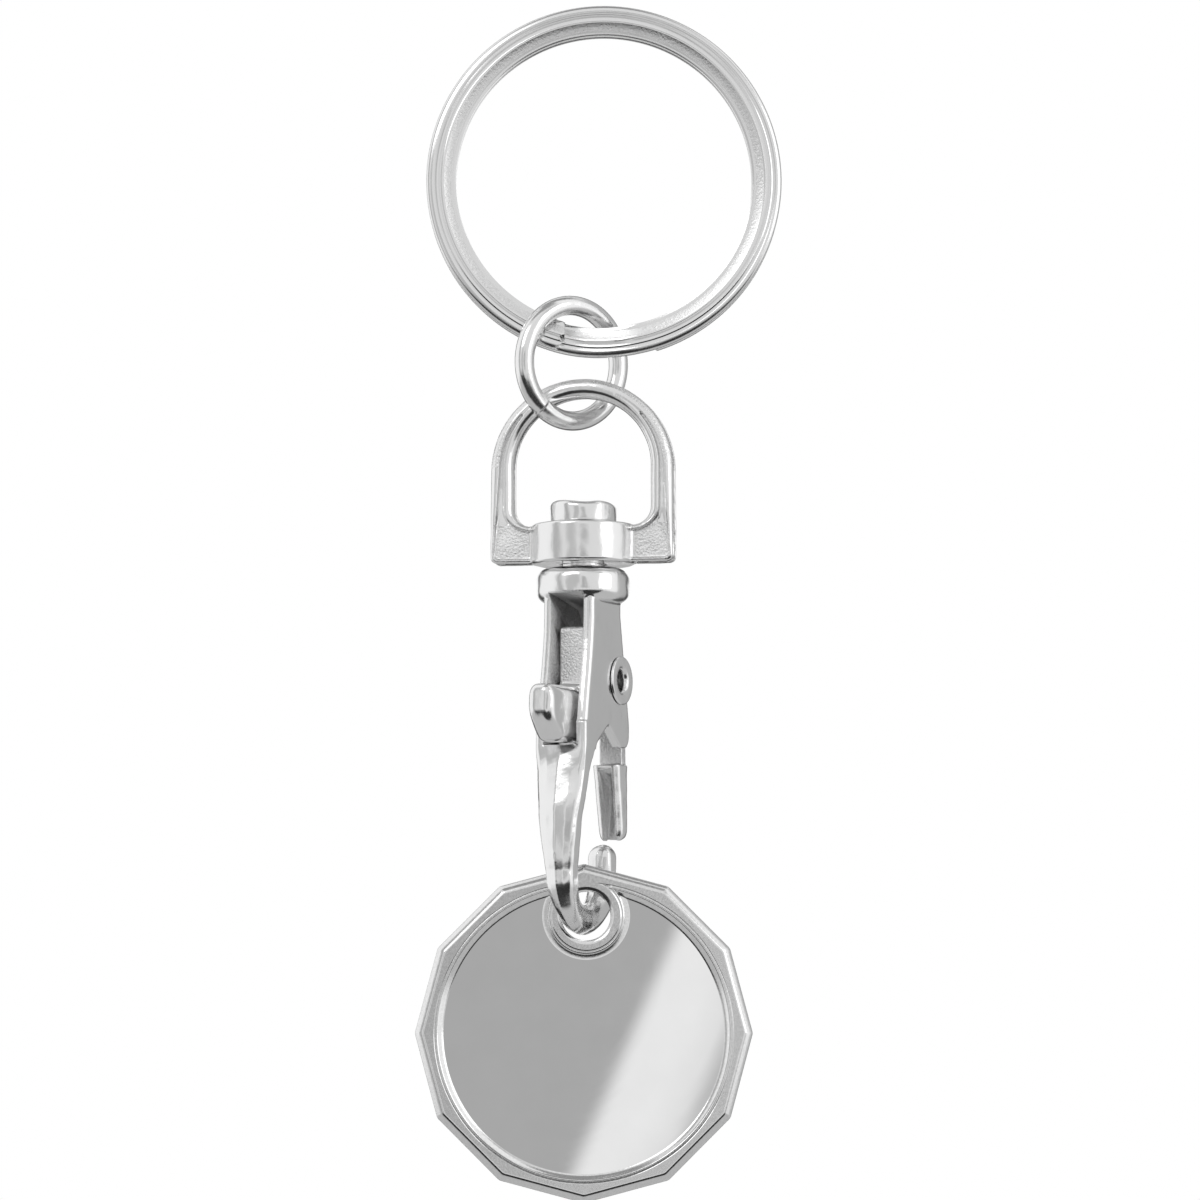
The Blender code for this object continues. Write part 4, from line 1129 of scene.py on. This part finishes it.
def make_token(material):
    """Twelve-sided token with a lipped mirror recess on each face and a ringed hole."""
    half = TOKEN_T / 2
    across = TOKEN_ACROSS_CORNERS / 2
    centre = (-TOKEN_HOLE_SIDE, -TOKEN_HOLE_RISE)
    corners = arc(*centre, across, 0, 360, TOKEN_SIDES)[:-1]
    levels = [(inset, -half + drop) for inset, drop in reversed(TOKEN_EDGE)]
    levels += [(inset, half - drop) for inset, drop in TOKEN_EDGE]
    rows = []
    for inset, y in levels:
        scale = 1 - inset / across
        outline = fillet([
            (lerp(centre[0], x, scale), lerp(centre[1], z, scale), TOKEN_CORNER_R)
            for x, z in reversed(corners)
        ], TOKEN_CORNER_STEPS)
        rows.append([(x, y, z) for x, z in outline])
    token = make_object("token_disc", loft(rows))
    for side in (-1, 1):
        cut(token, token_floor_cutter(side))
    hole_r = TOKEN_HOLE_D / 2
    mouth = [(0, -half - OVERRUN), (hole_r + TOKEN_HOLE_MOUTH[0][0], -half - OVERRUN)]
    mouth += [(hole_r + out, -half + depth) for out, depth in TOKEN_HOLE_MOUTH]
    mouth += [(radius, -y) for radius, y in reversed(mouth)]
    cut(token, turned(mouth, BOSS_ROUND_STEPS, 'Y'))
    settle(token)
    field_y = half - TOKEN_RECESS_DEPTH + TOKEN_FIELD_MARGIN

    def rule(co, normal):
        return 0.0 if abs(co.y) < field_y and abs(normal.y) > TOKEN_CLEAN_NORMAL else 1.0

    mark(token, rule)
    flats = [face.index for face in token.data.polygons if abs(face.normal.y) > TOKEN_FLAT_NORMAL]
    dress(token, joint_place("token_swing"), material, "token", "token", sharp_deg=30)
    for index in flats:
        token.data.polygons[index].use_smooth = False


def band(value, low, high, soft):
    """One between low and high, falling to zero over a soft margin outside them."""
    return smooth_step((value - low + soft) / soft) * smooth_step((high + soft - value) / soft)


def tent_shade(x, y, z):
    """How bright the studio is in a direction seen from the keyring; the camera is at -Y."""
    off = math.degrees(math.acos(max(-1.0, min(1.0, -y))))
    up = math.degrees(math.asin(max(-1.0, min(1.0, z))))
    side = math.degrees(math.atan2(x, -y))
    level = band(up, -40, 40, 15)
    walls = band(up, -30, 70, 16)
    # Round the camera, brighter beside it, and dimmer again further out
    shade = 0.4
    shade = lerp(shade, 0.74, smooth_step((off - 6) / 8))
    shade = lerp(shade, 0.5, smooth_step((off - 46) / 14))
    # Two grey posts on the left
    shade = lerp(shade, 0.5, band(side, -33, -21, 6) * level)
    shade = lerp(shade, 0.42, band(side, -70, -60, 6) * level)
    # Bright ceiling with a dim strip overhead
    shade = lerp(shade, 0.85, smooth_step((up - 40) / 20))
    shade = lerp(shade, 0.3, band(off, 68, 110, 10) * smooth_step((up - 52) / 12))
    # White walls at the sides, dim behind the right one and dark behind the object
    shade = lerp(shade, 0.92, band(side, -128, -74, 8) * walls)
    shade = lerp(shade, 0.92, band(side, 62, 88, 10) * walls)
    shade = lerp(shade, 0.44, smooth_step((side - 98) / 14) * band(up, -40, 40, 20))
    shade = lerp(shade, 0.07, smooth_step((off - 134) / 6))
    # Grey floor, dark in front
    shade = lerp(shade, 0.5, smooth_step((-12 - up) / 14) * band(off, 60, 118, 8))
    shade = lerp(shade, 0.03, smooth_step((-10 - up) / 12) * band(off, 26, 58, 8))
    # Grey straight behind, white above that
    shade = lerp(shade, 0.45, smooth_step((off - 158) / 6))
    return lerp(shade, 1.0, smooth_step((off - 146) / 8) * smooth_step((up + 4) / 4))


def front_shade(x, z):
    """What the token's field mirrors: grey, with a brighter leaning band to the right."""
    lean = x - z * 0.43
    shade = lerp(0.42, 0.87, smooth_step((lean - 36) / 6))
    shade = lerp(shade, 0.8, smooth_step((lean - 50) / 12))
    return lerp(shade, 0.52, smooth_step((lean - 59.5) / 5))


def add_tent():
    """Light tent round the keyring, seen only in the metal."""
    bm = bmesh.new()
    layer = bm.verts.layers.float.new("shade")
    rows = []
    for row in range(TENT_ROWS + 1):
        off = math.pi * (row / TENT_ROWS) ** 2
        spots = 1 if row in (0, TENT_ROWS) else TENT_SPOTS
        verts = []
        for spot in range(spots):
            turn = math.tau * spot / TENT_SPOTS
            way = Vector((math.sin(off) * math.cos(turn), -math.cos(off), math.sin(off) * math.sin(turn)))
            vert = bm.verts.new(way * TENT_R + Vector((0, 0, TENT_CENTRE_Z)))
            shade = tent_shade(*way)
            near = 1 - smooth_step((math.degrees(off) - MIRROR_DEG) / MIRROR_FADE_DEG)
            if near:
                shade = lerp(shade, front_shade(vert.co.x, vert.co.z - MIRROR_CENTRE_Z), near)
            vert[layer] = shade
            verts.append(vert)
        rows.append(verts)
    for here, there in zip(rows, rows[1:]):
        skin(bm, here, there, TENT_SPOTS)
    mesh = bpy.data.meshes.new("tent")
    bm.to_mesh(mesh)
    bm.free()
    mesh.transform(Matrix.Scale(MM, 4))
    tent = link("tent", mesh)
    material = bpy.data.materials.new("tent")
    material.use_nodes = True
    nodes, links = material.node_tree.nodes, material.node_tree.links
    nodes.clear()
    shade = nodes.new("ShaderNodeAttribute")
    shade.attribute_name = "shade"
    glow = nodes.new("ShaderNodeEmission")
    links.new(shade.outputs["Fac"], glow.inputs["Strength"])
    out = nodes.new("ShaderNodeOutputMaterial")
    links.new(glow.outputs["Emission"], out.inputs["Surface"])
    mesh.materials.append(material)
    tent.visible_camera = False
    tent.visible_diffuse = False
    tent.visible_shadow = False
    tent.visible_transmission = False


def add_light(name, centre, size, target, power):
    light = bpy.data.lights.new(name, 'AREA')
    light.shape = 'RECTANGLE'
    light.size, light.size_y = size[0] * MM, size[1] * MM
    light.energy = power
    obj = link(name, light)
    obj.location = Vector(centre) * MM
    obj.rotation_euler = (Vector(target) - Vector(centre)).to_track_quat('-Z', 'Y').to_euler()


def add_world():
    """White to the camera and to the metal, a little less as light."""
    world = bpy.data.worlds.new("studio")
    bpy.context.scene.world = world
    world.use_nodes = True
    nodes, links = world.node_tree.nodes, world.node_tree.links
    background = nodes["Background"]
    background.inputs["Color"].default_value = (1, 1, 1, 1)
    path = nodes.new("ShaderNodeLightPath")
    full = path.outputs["Is Camera Ray"]
    for ray in ("Is Glossy Ray", "Is Transmission Ray"):
        either = nodes.new("ShaderNodeMath")
        either.operation = 'MAXIMUM'
        links.new(full, either.inputs[0])
        links.new(path.outputs[ray], either.inputs[1])
        full = either.outputs["Value"]
    level = nodes.new("ShaderNodeMapRange")
    level.inputs["To Min"].default_value = WORLD_LIGHT
    level.inputs["To Max"].default_value = 1.0
    links.new(full, level.inputs["Value"])
    links.new(level.outputs["Result"], background.inputs["Strength"])


def add_floor():
    """Pale floor a little way below the hanging keyring."""
    floor = make_object("floor", cylinder(FLOOR_R, FLOOR_Z - FLOOR_T, FLOOR_Z, 'Z'))
    floor.data.transform(Matrix.Scale(MM, 4))
    material = bpy.data.materials.new("floor")
    material.use_nodes = True
    shader = material.node_tree.nodes["Principled BSDF"]
    shader.inputs["Base Color"].default_value = (FLOOR_SHADE, FLOOR_SHADE, FLOOR_SHADE, 1)
    shader.inputs["Roughness"].default_value = FLOOR_ROUGHNESS
    shader.inputs["Emission Color"].default_value = (1, 1, 1, 1)
    path = material.node_tree.nodes.new("ShaderNodeLightPath")
    level = material.node_tree.nodes.new("ShaderNodeMath")
    level.operation = 'MULTIPLY'
    level.inputs[1].default_value = FLOOR_GLOW
    material.node_tree.links.new(path.outputs["Is Camera Ray"], level.inputs[0])
    material.node_tree.links.new(level.outputs["Value"], shader.inputs["Emission Strength"])
    floor.data.materials.append(material)
    floor.visible_glossy = False


def add_camera():
    camera = bpy.data.cameras.new("camera")
    obj = link("camera", camera)
    half = PHOTO_SIZE / 2
    target = Vector((
        (half - RING_CENTRE_PIXEL[0]) / PIXELS_PER_MM,
        0,
        RING_CENTRE_Z - (half - RING_CENTRE_PIXEL[1]) / PIXELS_PER_MM,
    )) * MM
    up = math.radians(CAMERA_UP_DEG)
    back = Vector((0, -math.cos(up), math.sin(up))) * CAMERA_DISTANCE * MM
    obj.location = target + back
    obj.rotation_euler = (-back).to_track_quat('-Z', 'Y').to_euler()
    camera.sensor_width = SENSOR_W
    camera.angle = 2 * math.atan(half / PIXELS_PER_MM / CAMERA_DISTANCE)
    camera.clip_start = CLIP_START_M
    bpy.context.scene.camera = obj


def main():
    bright, drawn, mirror, dull = (metal(*row) for row in METALS)
    make_split_ring(drawn)
    make_jump_ring(bright)
    make_swivel_eye(bright)
    make_hook_body(bright)
    make_pivot_rivet(bright)
    make_gate_lever(bright)
    make_gate_spring(dull)
    make_token(mirror)
    add_tent()
    target = (0, 0, TENT_CENTRE_Z)
    add_light("key", (-250, -350, 250), (250, 250), target, power=0.25)
    add_light("fill", (350, -250, 80), (200, 300), target, power=0.15)
    add_floor()
    add_world()
    add_camera()
    bpy.context.scene.view_settings.view_transform = 'Standard'


main()
